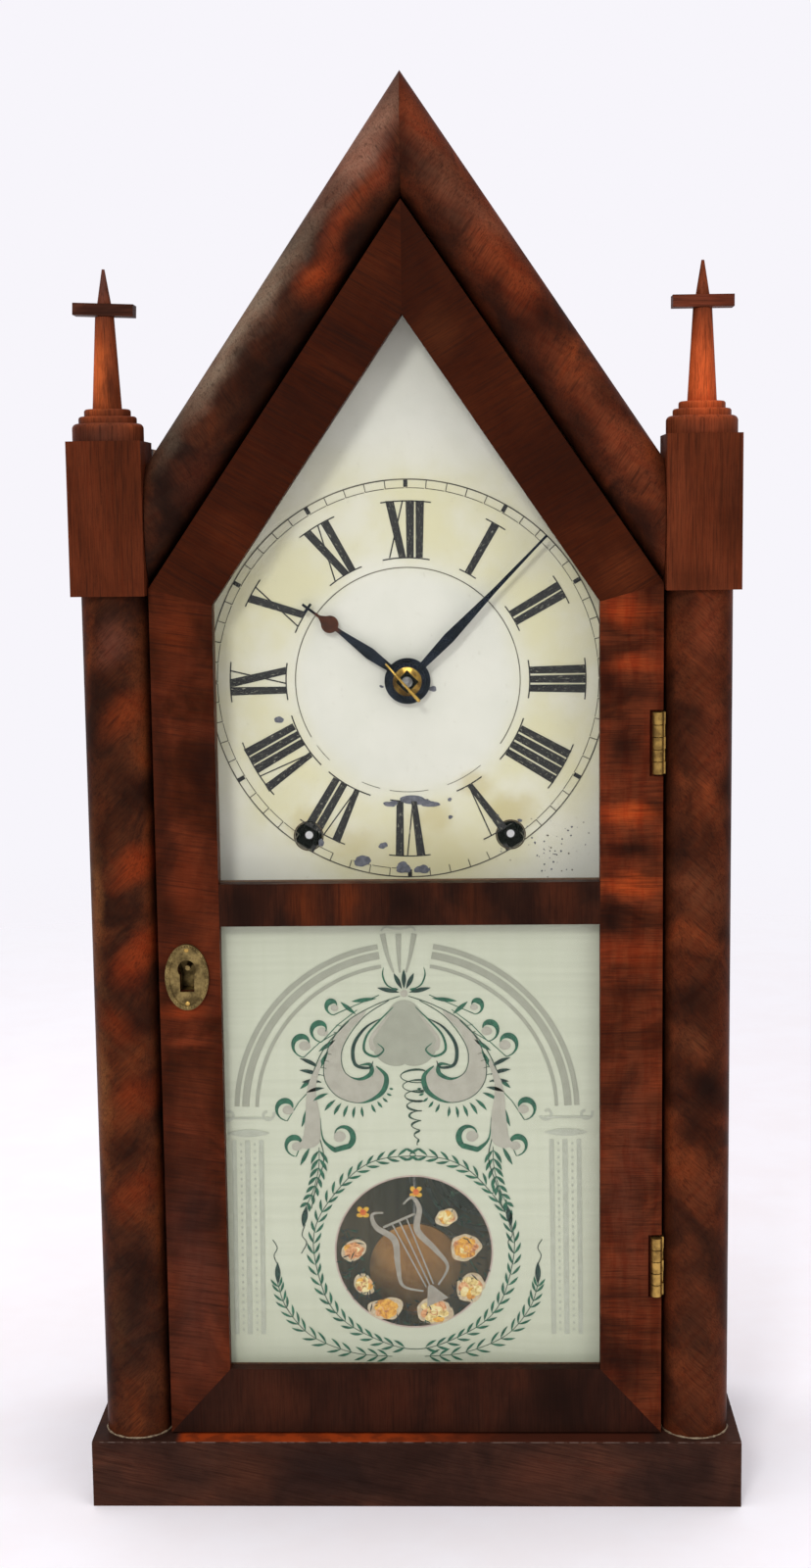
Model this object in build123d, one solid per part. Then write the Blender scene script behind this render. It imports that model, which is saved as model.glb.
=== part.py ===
"""Steeple shelf clock: pointed veneered case, glazed door, eight-day time and strike movement.

X runs to the right, Y runs from the front to the back, and Z runs up from the table.
The origin is under the middle of the base. All sizes are in millimetres.
"""

import math
import os

from build123d import *

os.makedirs("parts", exist_ok=True)

# Overall case
clock_height = 508.0
case_depth = 108.0
base_width = 236.0
base_height = 24.6
base_edge_radius = 1.2
front_y = -case_depth / 2
back_y = case_depth / 2

# Gable slope: the sine and cosine of the angle between the roof line and the vertical
gable_angle = 34.4
slope_sine = math.sin(math.radians(gable_angle))
slope_cosine = math.cos(math.radians(gable_angle))
slope_rise = slope_cosine / slope_sine

# Heights of the head, the dial and the movement, measured down from the clock's top
side_drop = 123.4
column_drop = 176.6
dial_apex_drop = 56.0
plate_top_drop = 158.0
verge_drop = 176.0
hands_drop = 208.5
upper_hinge_drop = 240.6
hammer_drop = 248.0
winding_drop = 264.5
dial_bottom_drop = 291.6
middle_rail_drop = 294.0
plate_bottom_drop = 303.0
escutcheon_drop = 312.0

# Case boards
side_outer_x = 112.0
side_thickness = 12.0
side_inner_x = side_outer_x - side_thickness
side_top = clock_height - side_drop
back_thickness = 10.0
roof_thickness = 12.0
board_front_y = front_y + 15.0
back_front_y = back_y - back_thickness
stile_thickness = 12.0
stile_back_y = board_front_y + stile_thickness

# Columns, the blocks on them and the finials
column_radius = 12.0
column_x = 102.3
column_top = clock_height - column_drop
column_height = column_top - base_height
door_opening_x = column_x - column_radius
block_inner_x = 90.0
block_width = 25.8
block_depth = 26.0
block_front_y = front_y + 1.2
finial_x = 103.1
finial_y = block_front_y + block_depth / 2
foot_disc_radius = 12.4
foot_disc_height = 6.3
middle_disc_radius = 10.1
middle_disc_height = 2.4
top_disc_radius = 8.1
top_disc_height = 2.5
disc_edge_radius = 0.9
spire_foot_radius = 5.1
spire_top_radius = 3.3
spire_height = 31.5
spindle_radius = 2.4
crossbar_length = 21.0
crossbar_height = 4.1
crossbar_depth = 7.5
crossbar_bore_play = 0.2
crossbar_lift = 0.2
crossbar_tilt = 2.4
tip_height = 11.6
tip_radius = 0.5

# Gable mouldings
moulding_width = 23.6
moulding_end_gap = 0.2
column_seat_y = board_front_y

# Door frame
door_gap = 0.8
door_half_width = door_opening_x - door_gap
door_bottom = base_height + door_gap
door_front_y = front_y + 6.6
door_thickness = 11.4
door_back_y = door_front_y + door_thickness
gable_gap = 1.0
stile_width = 22.0
bottom_rail_height = 24.0
middle_rail_bottom = clock_height - middle_rail_drop
middle_rail_height = 15.2
gable_rail_width = 21.6
sight_half_width = door_half_width - stile_width
rebate_width = 5.0
rebate_depth = 6.5
glass_thickness = 2.0
glass_play = 0.3
glass_front_y = door_back_y - rebate_depth
glazing_strip_width = 4.4
glazing_strip_thickness = 3.6

# Hinges
hinge_x = 87.6
hinge_y = door_front_y - 0.6
hinge_height = 21.6
lower_hinge_rise = 53.0
hinge_bottoms = (base_height + lower_hinge_rise, clock_height - upper_hinge_drop)
knuckle_count = 5
knuckle_radius = 2.0
knuckle_gap = 0.3
hinge_pin_radius = 0.8
hinge_pin_play = 0.06
leaf_thickness = 0.5
leaf_inset = 0.1
leaf_root = 2.6
tab_near = 1.0
tab_far = 1.8
case_leaf_reach = 17.6
door_leaf_reach = 11.0
notch_margin = 0.8

# Lock and escutcheon
lock_x = -79.4
escutcheon_z = clock_height - escutcheon_drop
escutcheon_width = 15.6
escutcheon_height = 23.8
escutcheon_thickness = 1.0
escutcheon_rim = 1.5
escutcheon_rim_rise = 0.6
keyhole_rise = 2.8
keyhole_z = escutcheon_z + keyhole_rise
keyhole_radius = 3.3
keyhole_slot_width = 5.1
keyhole_length = 8.2
keyhole_bottom_z = keyhole_z - keyhole_length
drill_pin_radius = 0.9
drill_pin_reach = 1.4
lock_left_x = -88.8
lock_right_x = -73.4
lock_fall = 12.5
lock_bottom_z = escutcheon_z - lock_fall
lock_rise = 13.0
lock_top_z = escutcheon_z + lock_rise
lock_depth = 8.4
lock_wall = 1.0
lock_play = 0.15
bolt_rise = 7.0
bolt_bottom_z = escutcheon_z + bolt_rise
bolt_height = 4.4
bolt_thickness = 1.8
bolt_back_gap = 0.7
bolt_length = 12.0
bolt_play = 0.2
bolt_slot_depth = 6.0

# Dial
dial_front_y = front_y + 25.0
dial_thickness = 0.6
dial_side_play = 0.3
dial_bottom = clock_height - dial_bottom_drop
dial_apex = clock_height - dial_apex_drop
rabbet_width = 6.3
rabbet_depth = 10.0
dial_pipe_hole_radius = 5.4
winding_x = 36.5
winding_z = clock_height - winding_drop
winding_hole_radius = 4.9

# Hands
hands_x = 0.0
hands_z = clock_height - hands_drop
minute_hand_y = front_y + 19.2
hour_hand_y = front_y + 21.9
hand_thickness = 0.8
minute_hand_length = 71.2
minute_hand_angle = 44.3
hour_hand_length = 46.2
hour_hand_angle = -53.3
minute_hub_radius = 6.6
hour_hub_radius = 8.2
hand_root_half_width = 1.0
minute_belly_half_width = 2.0
hour_belly_half_width = 2.1
hand_neck_half_width = 0.8
hand_tip_half_width = 0.45
hour_disc_radius = 3.1
hour_cross_half_length = 1.9
collet_radius = 5.15
collet_height = 2.2
arbor_tip_y = front_y + 15.8
minute_stations_shares = (0.05, 0.30, 0.62, 0.90)
hour_stations_shares = (0.10, 0.36, 0.64, 0.88)
hand_cross_share = 0.95
hour_disc_share = 0.74
hour_point_share = 0.86
centre_arbor_radius = 2.2
centre_seat_radius = 1.9

# Movement frame
plate_setback = 40.0
plate_front_y = front_y + plate_setback
plate_thickness = 1.6
plate_gap = 30.0
front_plate_back_y = plate_front_y + plate_thickness
back_plate_front_y = front_plate_back_y + plate_gap
back_plate_back_y = back_plate_front_y + plate_thickness
plate_half_width = 67.0
plate_bottom = clock_height - plate_bottom_drop
plate_top = clock_height - plate_top_drop
plate_corner = 8.0
pillar_inset = 6.0
pillar_radius = 3.0
pillar_rivet_radius = 1.8
fit_play = 0.07
end_play = 0.3
arbor_radius = 1.3
pivot_radius = 0.8
mounting_block_width = 12.0
screw_shank_radius = 1.4
screw_length = 14.0
screw_inset = 12.0

# Tooth proportions, as shares of the module and of the tooth pitch
wheel_addendum_share = 0.80
wheel_dedendum_share = 0.95
wheel_width_shares = (0.54, 0.44, 0.13)
pinion_addendum_share = 0.55
pinion_dedendum_share = 1.20
pinion_width_shares = (0.36, 0.36, 0.16)

# Train: tooth counts and modules
great_teeth = 60
great_module = 1.0
second_pinion_teeth = 12
second_teeth = 54
second_module = 0.9
centre_pinion_teeth = 18
centre_teeth = 54
centre_module = 0.75
third_pinion_teeth = 6
third_teeth = 60
third_module = 0.65
escape_pinion_teeth = 6
escape_teeth = 40
escape_radius = 14.0
escape_tooth_depth = 1.7
escape_hook = 0.55
cannon_teeth = 8
minute_wheel_teeth = 24
cannon_module = 1.0
minute_pinion_teeth = 8
hour_wheel_teeth = 32
hour_module = 0.8
strike_pinion_teeth = 10
strike_second_teeth = 78
strike_module = 0.62
warning_pinion_teeth = 6
warning_teeth = 48
warning_module = 0.7
fly_pinion_teeth = 6
lifting_star_points = 13
lifting_star_radius = 9.0
lifting_star_depth = 2.6
ratchet_teeth = 20
ratchet_radius = 9.5
ratchet_depth = 1.5

# Wheel make: rims, spokes, and the places of the wheels along Y behind the front plate
wheel_thickness = 1.2
great_wheel_thickness = 2.0
rim_width = 3.2
spoke_half_width = 1.5
hub_radius = 4.0
winding_hub_radius = 11.0
spoke_count = 4
spoke_inner_shares = (-1, 0, 1)
spoke_rim_shares = (1, 0.6, 0.2, -0.2, -0.6, -1)
winding_arbor_radius = 3.0
winding_square = 3.8
winding_tip_y = front_y + 27.2
second_level = 1.6
strike_second_level = 3.7
great_level = 6.6
ratchet_gap = 0.4
spring_level = 10.4
spring_width = 17.0
spring_outer_radius = 25.0
spring_inner_radius = 6.0
spring_tail_thickness = 0.8
warning_level = 9.4
third_level = 14.0
centre_level = 18.8
pinion_overlap = 1.4
escape_level = 1.4
star_level = 24.4
star_thickness = 2.0
motion_gap = 0.8
minute_wheel_y = plate_front_y - 2.2
hour_wheel_y = minute_wheel_y - 3.6
pipe_radius = 3.9
pipe_seat_radius = 3.4
fly_half_span = 9.5
fly_height = 8.0
fly_level = 19.0
fly_thickness = 0.5
click_heel_radius = 17.0
click_lead = math.radians(40)
click_width = 2.4
click_gap = 0.5

# Pendulum, its suspension and the verge
verge_z = clock_height - verge_drop
pallet_span_teeth = 7.5
pallet_clearance = 0.9
pallet_width = 1.2
verge_strap_width = 2.2
verge_hub_half = 1.5
escape_bearing = 225.0
pendulum_setback = 29.6
pendulum_y = front_y + pendulum_setback
suspension_post_radius = 2.4
suspension_gap = 0.3
suspension_rise = 1.7
suspension_width = 3.0
suspension_thickness = 0.4
suspension_length = 12.0
rod_radius = 0.8
rod_ring_radius = 7.8
bob_z = 79.5
bob_radius = 17.0
bob_half_thickness = 4.0
bob_rim = 0.8
bob_middle_share = 0.6
bob_swell_share = 0.55
rod_bottom_z = 54.5
rating_nut_radius = 3.4
rating_nut_height = 3.4
rating_nut_gap = 0.2
crutch_length = 15.0
crutch_radius = 0.6
crutch_bar_half = 0.8
crutch_fork_gap = 0.35

# Hammer and gong
hammer_x = 1.5
hammer_z = clock_height - hammer_drop
hammer_head_z = 112.0
hammer_head_radius = 4.5
hammer_head_front = 5.5
hammer_head_back_share = 0.504587
hammer_rod_radius = 1.0
hammer_strike_gap = 0.6
hammer_arm_gap = 3.0
gong_x = 24.0
gong_z = 100.0
gong_wire_width = 2.4
gong_wire_height = 1.4
gong_first_radius = 9.0
gong_pitch = 6.0
gong_turns = 4
gong_board_gap = 16.0
gong_plane_y = back_front_y - gong_board_gap
gong_base_radius = 20.0
gong_base_height = 6.0
gong_boss_radius = 5.0
gong_samples = 320
cut_overrun = 2.0

# Sizes that follow from the ones above
door_apex = clock_height - (moulding_width + gable_gap) / slope_sine
door_shoulder = door_apex - door_half_width * slope_rise
sight_apex = door_apex - gable_rail_width / slope_sine
sight_shoulder = sight_apex - sight_half_width * slope_rise
sight_bottom = door_bottom + bottom_rail_height
middle_rail_top = middle_rail_bottom + middle_rail_height
bolt_front_y = door_back_y - bolt_back_gap - bolt_thickness
mounting_x = plate_half_width - mounting_block_width / 2 - pillar_radius
screw_heights = (plate_bottom + 2 * screw_inset, plate_top - 2 * screw_inset)
gong_outer_radius = gong_first_radius + gong_turns * gong_pitch


def front_plane(y):
    return Plane(origin=(0, y, 0), x_dir=(1, 0, 0), z_dir=(0, -1, 0))


def outline(points):
    return make_face(Polyline(*points, close=True))


def slab(face, y0, y1):
    """A front-view face carried back from y0 to y1."""
    return extrude(front_plane(y0) * face, amount=y0 - y1)


def block(x0, x1, y0, y1, z0, z1):
    return Pos((x0 + x1) / 2, (y0 + y1) / 2, (z0 + z1) / 2) * Box(x1 - x0, y1 - y0, z1 - z0)


def rod(x, z, radius, y0, y1):
    """A round bar along Y."""
    return Pos(x, (y0 + y1) / 2, z) * Rot(90, 0, 0) * Cylinder(radius, y1 - y0)


def post(x, y, radius, z0, z1):
    return Pos(x, y, (z0 + z1) / 2) * Cylinder(radius, z1 - z0)


def mirrored(shape):
    return mirror(shape, about=Plane.YZ)


def save(name, shape):
    export_step(shape, "parts/" + name + ".step")


def gable_points(half_width, bottom, apex):
    """The five corners of a pointed panel with its sloping edges along the roof line."""
    shoulder = apex - half_width * slope_rise
    return [
        (-half_width, bottom),
        (half_width, bottom),
        (half_width, shoulder),
        (0, apex),
        (-half_width, shoulder),
    ]


def polar(centre, radius, angle):
    return (centre[0] + radius * math.cos(angle), centre[1] + radius * math.sin(angle))


def bearing(here, there):
    return math.atan2(there[1] - here[1], there[0] - here[0])


def meeting_point(first, second, first_reach, second_reach, side):
    """The place at one reach from each of two arbors, on the given side of their line."""
    span = math.dist(first, second)
    along = (first_reach**2 - second_reach**2 + span**2) / (2 * span)
    across = math.sqrt(first_reach**2 - along**2)
    angle = bearing(first, second)
    foot = polar(first, along, angle)
    return polar(foot, across, angle + side * math.pi / 2)


def toothed_outline(centre, teeth, module, addendum, dedendum, widths, facing):
    """A toothed ring with one tooth pointing at the facing angle."""
    pitch_radius = module * teeth / 2
    radii = (pitch_radius - dedendum * module, pitch_radius, pitch_radius + addendum * module)
    half_pitch = math.pi / teeth
    points = []
    for tooth in range(teeth):
        middle = facing + tooth * 2 * half_pitch
        for radius, width in zip(radii, widths):
            points.append(polar(centre, radius, middle - width * half_pitch))
        for radius, width in zip(reversed(radii), reversed(widths)):
            points.append(polar(centre, radius, middle + width * half_pitch))
    return outline(points)


def wheel_teeth(centre, teeth, module, facing):
    return toothed_outline(
        centre,
        teeth,
        module,
        wheel_addendum_share,
        wheel_dedendum_share,
        wheel_width_shares,
        facing,
    )


def pinion_leaves(centre, teeth, module, facing):
    """A pinion with a gap between two leaves at the facing angle."""
    return toothed_outline(
        centre,
        teeth,
        module,
        pinion_addendum_share,
        pinion_dedendum_share,
        pinion_width_shares,
        facing + math.pi / teeth,
    )


def spoke_windows(centre, rim_radius, inner_radius):
    """The openings between the spokes of a wheel."""
    windows = []
    for index in range(spoke_count):
        middle = (index + 0.5) * 2 * math.pi / spoke_count
        half_step = math.pi / spoke_count
        outer_half = half_step - math.asin(spoke_half_width / rim_radius)
        inner_half = half_step - math.asin(spoke_half_width / inner_radius)
        points = [
            polar(centre, inner_radius, middle + share * inner_half) for share in spoke_inner_shares
        ]
        points += [
            polar(centre, rim_radius, middle + share * outer_half)
            for share in spoke_rim_shares
        ]
        windows.append(slab(outline(points), 0, case_depth))
    return windows


def crossed_wheel(centre, teeth, module, facing, y0, thickness, inner_radius=hub_radius):
    """A wheel with its spokes cut out, its front face at y0."""
    wheel = slab(wheel_teeth(centre, teeth, module, facing), y0, y0 + thickness)
    rim_radius = module * (teeth / 2 - wheel_dedendum_share) - rim_width
    for window in spoke_windows(centre, rim_radius, inner_radius):
        wheel -= Pos(0, y0 - case_depth / 2, 0) * window
    return wheel


def arbor(centre, front=None, back=None):
    """An arbor between the plates with a pivot in each of them."""
    x, z = centre
    shoulder_front = front_plate_back_y + end_play
    shoulder_back = back_plate_front_y - end_play
    pivot_front = plate_front_y if front is None else front
    pivot_back = back_plate_back_y if back is None else back
    shape = rod(x, z, arbor_radius, shoulder_front, shoulder_back)
    return shape + rod(x, z, pivot_radius, pivot_front, pivot_back)


def level(height):
    """A place along Y, counted back from the inside of the front plate."""
    return front_plate_back_y + height


# Arbor places in the front view
centre_place = (hands_x, hands_z)
time_place = (winding_x, winding_z)
strike_place = (-winding_x, winding_z)
verge_place = (hands_x, verge_z)
second_reach = great_module * (great_teeth + second_pinion_teeth) / 2
second_to_centre = second_module * (second_teeth + centre_pinion_teeth) / 2
second_place = meeting_point(time_place, centre_place, second_reach, second_to_centre, -1)
pallet_half_angle = math.pi * pallet_span_teeth / escape_teeth
escape_drop = escape_radius / math.cos(pallet_half_angle)
escape_place = polar(verge_place, escape_drop, math.radians(escape_bearing))
third_reach = centre_module * (centre_teeth + third_pinion_teeth) / 2
third_to_escape = third_module * (third_teeth + escape_pinion_teeth) / 2
third_place = meeting_point(centre_place, escape_place, third_reach, third_to_escape, 1)
minute_reach = cannon_module * (cannon_teeth + minute_wheel_teeth) / 2
minute_place = (hands_x + minute_reach, hands_z)
strike_second_reach = great_module * (great_teeth + strike_pinion_teeth) / 2
strike_second_place = meeting_point(
    strike_place, centre_place, strike_second_reach, second_to_centre, 1
)
warning_reach = strike_module * (strike_second_teeth + warning_pinion_teeth) / 2
warning_bearing = math.radians(150)
warning_place = polar(strike_second_place, warning_reach, warning_bearing)
fly_reach = warning_module * (warning_teeth + fly_pinion_teeth) / 2
fly_bearing = math.radians(100)
fly_place = polar(warning_place, fly_reach, fly_bearing)
hammer_place = (hammer_x, hammer_z)
small_places = (
    second_place,
    third_place,
    escape_place,
    strike_second_place,
    warning_place,
    fly_place,
    verge_place,
    hammer_place,
)
pillar_places = [
    (side * (plate_half_width - pillar_inset), z)
    for side in (-1, 1)
    for z in (plate_bottom + pillar_inset, plate_top - pillar_inset)
]


def make_base():
    base = block(-base_width / 2, base_width / 2, front_y, back_y, 0, base_height)
    top_edge = base.edges().filter_by(Axis.X).group_by(Axis.Z)[-1].sort_by(Axis.Y)[0]
    save("base", fillet(top_edge, base_edge_radius))


def roof_line(x, drop=0):
    """The height of the roof's outer line, or of a line that lies drop inside it."""
    return clock_height - x * slope_rise - drop / slope_sine


def block_solid(play=0):
    return block(
        block_inner_x - play,
        block_inner_x + block_width,
        block_front_y,
        block_front_y + block_depth + play,
        column_top - play,
        side_top,
    )


def make_sides():
    side = block(
        side_inner_x,
        side_outer_x,
        stile_back_y,
        back_front_y,
        base_height,
        side_top,
    )
    side -= block_solid()
    plan = outline(
        [
            (door_opening_x, board_front_y),
            (side_outer_x, board_front_y),
            (side_outer_x, stile_back_y),
            (side_inner_x, stile_back_y),
            (side_inner_x, dial_front_y + dial_thickness + rabbet_depth),
            (door_opening_x - rabbet_width, dial_front_y + dial_thickness + rabbet_depth),
            (door_opening_x - rabbet_width, dial_front_y + dial_thickness),
            (door_opening_x, dial_front_y + dial_thickness),
        ]
    )
    stile = Pos(0, 0, base_height) * extrude(plan, amount=column_height)
    left_stile = mirrored(stile)
    left_stile -= block(
        -door_opening_x - bolt_slot_depth,
        -door_opening_x + rabbet_width,
        board_front_y - cut_overrun,
        bolt_front_y + bolt_thickness + 2 * bolt_play,
        bolt_bottom_z - 2 * bolt_play,
        bolt_bottom_z + bolt_height + 2 * bolt_play,
    )
    save("case_side_right", side)
    save("case_side_left", mirrored(side))
    save("front_stile_right", stile)
    save("front_stile_left", left_stile)


def make_roof():
    board = slab(
        outline(
            [
                (0, clock_height),
                (side_inner_x, roof_line(side_inner_x)),
                (side_inner_x, roof_line(side_inner_x, roof_thickness)),
                (0, roof_line(0, roof_thickness)),
            ]
        ),
        board_front_y,
        back_front_y,
    )
    board -= block_solid()
    save("roof_board_right", board)
    save("roof_board_left", mirrored(board))
    back = slab(
        outline(
            [
                (-side_outer_x, base_height),
                (side_outer_x, base_height),
                (side_outer_x, side_top),
                (side_inner_x, side_top),
                (side_inner_x, roof_line(side_inner_x)),
                (0, clock_height),
                (-side_inner_x, roof_line(side_inner_x)),
                (-side_inner_x, side_top),
                (-side_outer_x, side_top),
            ]
        ),
        back_front_y,
        back_y,
    )
    save("back_board", back)


def make_columns():
    column = post(column_x, column_seat_y, column_radius, base_height, column_top)
    column = column & block(
        column_x - column_radius,
        column_x + column_radius,
        column_seat_y - column_radius,
        column_seat_y,
        base_height,
        column_top,
    )
    save("column_right", column)
    save("column_left", mirrored(column))
    save("capital_block_right", block_solid())
    save("capital_block_left", mirrored(block_solid()))


def make_finials():
    z0 = side_top
    z1 = z0 + foot_disc_height
    z2 = z1 + middle_disc_height
    z3 = z2 + top_disc_height
    z4 = z3 + spire_height
    z5 = z4 + crossbar_height + 2 * crossbar_lift
    z6 = z5 + tip_height
    turned = post(0, 0, foot_disc_radius, z0, z1)
    turned = fillet(turned.edges().group_by(Axis.Z)[-1], 2 * disc_edge_radius)
    middle = post(0, 0, middle_disc_radius, z1, z2)
    turned += fillet(middle.edges().group_by(Axis.Z)[-1], disc_edge_radius)
    top = post(0, 0, top_disc_radius, z2, z3)
    turned += fillet(top.edges().group_by(Axis.Z)[-1], disc_edge_radius)
    turned += Pos(0, 0, (z3 + z4) / 2) * Cone(spire_foot_radius, spire_top_radius, spire_height)
    turned += post(0, 0, spindle_radius, z4, z5)
    turned += Pos(0, 0, (z5 + z6) / 2) * Cone(spindle_radius, tip_radius, tip_height)
    bar = Box(crossbar_length, crossbar_depth, crossbar_height)
    bar -= Cylinder(spindle_radius + crossbar_bore_play, crossbar_height + cut_overrun)
    bar_z = z4 + crossbar_lift + crossbar_height / 2
    right = Pos(finial_x, finial_y, bar_z) * bar
    left = Pos(-finial_x, finial_y, bar_z) * Rot(0, crossbar_tilt, 0) * bar
    save("finial_right", Pos(finial_x, finial_y, 0) * turned)
    save("finial_left", Pos(-finial_x, finial_y, 0) * turned)
    save("finial_crossbars", Compound(children=[right, left]))


def make_gable_mouldings():
    half = moulding_width / 2
    start = Vector(-half * slope_cosine, board_front_y, clock_height - half * slope_sine)
    plane = Plane(
        origin=start,
        x_dir=(slope_cosine, 0, slope_sine),
        z_dir=(slope_sine, 0, -slope_cosine),
    )
    bow = ThreePointArc((-half, 0), (0, half), (half, 0))
    profile = make_face([bow, Line((half, 0), (-half, 0))])
    length = base_width
    moulding = extrude(plane * profile, amount=length, both=True)
    keep = outline(
        [
            (0, 0),
            (block_inner_x - moulding_end_gap, 0),
            (block_inner_x - moulding_end_gap, clock_height),
            (0, clock_height),
        ]
    )
    moulding = moulding & slab(keep, front_y, board_front_y)
    save("gable_moulding_right", moulding)
    save("gable_moulding_left", mirrored(moulding))


def pocket_points(margin):
    """Corners of the two rebated openings behind the sight edges, drawn in by a margin."""
    grow = rebate_width - margin
    upper = gable_points(
        sight_half_width + grow, middle_rail_top - grow, sight_apex + grow / slope_sine
    )
    lower = [
        (-sight_half_width - grow, sight_bottom - grow),
        (sight_half_width + grow, sight_bottom - grow),
        (sight_half_width + grow, middle_rail_bottom + grow),
        (-sight_half_width - grow, middle_rail_bottom + grow),
    ]
    return upper, lower


def pocket(margin, y0, y1):
    upper, lower = pocket_points(margin)
    return slab(outline(upper), y0, y1), slab(outline(lower), y0, y1)


def keyhole(y0, y1, margin=0):
    hole = rod(lock_x, keyhole_z, keyhole_radius + margin, y0, y1)
    return hole + block(
        lock_x - keyhole_slot_width / 2 - margin,
        lock_x + keyhole_slot_width / 2 + margin,
        y0,
        y1,
        keyhole_bottom_z - margin,
        keyhole_z,
    )


def lock_pocket(play, y0):
    return block(
        lock_left_x - play - (cut_overrun if play else 0),
        lock_right_x + play,
        y0,
        door_back_y + (cut_overrun if play else 0),
        lock_bottom_z - play,
        lock_top_z + play,
    )


def make_door():
    upper, lower = pocket(0, glass_front_y, door_back_y + cut_overrun)
    outer = door_half_width
    inner = sight_half_width
    left_stile = outline(
        [
            (-outer, door_bottom),
            (-inner, sight_bottom),
            (-inner, sight_shoulder),
            (-outer, door_shoulder),
        ]
    )
    right_stile = outline(
        [
            (outer, door_bottom),
            (inner, sight_bottom),
            (inner, sight_shoulder),
            (outer, door_shoulder),
        ]
    )
    bottom_rail = outline(
        [
            (-outer, door_bottom),
            (outer, door_bottom),
            (inner, sight_bottom),
            (-inner, sight_bottom),
        ]
    )
    middle_rail = outline(
        [
            (-inner, middle_rail_bottom),
            (inner, middle_rail_bottom),
            (inner, middle_rail_top),
            (-inner, middle_rail_top),
        ]
    )
    gable_rail = outline(
        [
            (outer, door_shoulder),
            (0, door_apex),
            (0, sight_apex),
            (inner, sight_shoulder),
        ]
    )
    members = {
        "door_stile_left": left_stile,
        "door_stile_right": right_stile,
        "door_bottom_rail": bottom_rail,
        "door_middle_rail": middle_rail,
        "door_gable_rail_right": gable_rail,
    }
    solids = {}
    for name, face in members.items():
        solids[name] = slab(face, door_front_y, door_back_y) - upper - lower
    solids["door_gable_rail_left"] = mirrored(solids["door_gable_rail_right"])
    left = solids["door_stile_left"]
    left -= lock_pocket(lock_play, door_back_y - lock_depth - lock_play)
    left -= keyhole(door_front_y - cut_overrun, door_back_y)
    solids["door_stile_left"] = left
    right = solids["door_stile_right"]
    for bottom in hinge_bottoms:
        right -= block(
            hinge_x - knuckle_radius - notch_margin,
            door_half_width + cut_overrun,
            door_front_y - cut_overrun,
            hinge_y + leaf_root + notch_margin,
            bottom - notch_margin,
            bottom + hinge_height + notch_margin,
        )
        right -= block(
            door_half_width - leaf_thickness - leaf_inset,
            door_half_width + cut_overrun,
            hinge_y,
            hinge_y + door_leaf_reach,
            bottom,
            bottom + hinge_height,
        )
    solids["door_stile_right"] = right
    for name, solid in solids.items():
        save(name, solid)


def make_glazing():
    glass_back = glass_front_y + glass_thickness
    upper, lower = pocket(glass_play, glass_front_y, glass_back)
    save("upper_glass", upper)
    save("tablet_glass", lower)
    strip_back = glass_back + glazing_strip_thickness
    clear = lock_pocket(lock_play, glass_back)
    strips = []
    outer_rings = pocket_points(glass_play)
    inner_rings = pocket_points(glass_play + glazing_strip_width)
    for outer, inner in zip(outer_rings, inner_rings):
        for index in range(len(outer)):
            after = (index + 1) % len(outer)
            face = outline([outer[index], outer[after], inner[after], inner[index]])
            strips.append(slab(face, glass_back, strip_back) - clear)
    save("glazing_strips", Compound(children=strips))


def hinge_leaf(bottom, first, x0, x1, reach, bored):
    """One leaf with the knuckles that belong to it."""
    pitch = hinge_height / knuckle_count
    leaf = block(
        x0, x1, hinge_y + leaf_root, hinge_y + reach, bottom, bottom + hinge_height
    )
    for index in range(knuckle_count):
        z0 = bottom + index * pitch
        z1 = z0 + pitch
        if index % 2 != first:
            continue
        low = z0 + (knuckle_gap / 2 if index else 0)
        high = z1 - (knuckle_gap / 2 if index < knuckle_count - 1 else 0)
        leaf += post(hinge_x, hinge_y, knuckle_radius, low, high)
        leaf += block(hinge_x, x1, hinge_y + tab_near, hinge_y + tab_far, low, high)
        leaf += block(x0, x1, hinge_y + tab_near, hinge_y + leaf_root + tab_near, low, high)
    if bored:
        leaf -= post(
            hinge_x,
            hinge_y,
            hinge_pin_radius + hinge_pin_play,
            bottom - cut_overrun,
            bottom + hinge_height + cut_overrun,
        )
    else:
        leaf += post(hinge_x, hinge_y, hinge_pin_radius, bottom, bottom + hinge_height)
    return leaf


def make_hinges():
    case_leaves = []
    door_leaves = []
    for bottom in hinge_bottoms:
        case_leaves.append(
            hinge_leaf(
                bottom,
                0,
                door_opening_x - leaf_thickness,
                door_opening_x,
                case_leaf_reach,
                False,
            )
        )
        door_leaves.append(
            hinge_leaf(
                bottom,
                1,
                door_half_width - leaf_thickness - leaf_inset,
                door_half_width - leaf_inset,
                door_leaf_reach,
                True,
            )
        )
    save("hinge_case_leaves", Compound(children=case_leaves))
    save("hinge_door_leaves", Compound(children=door_leaves))


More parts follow.
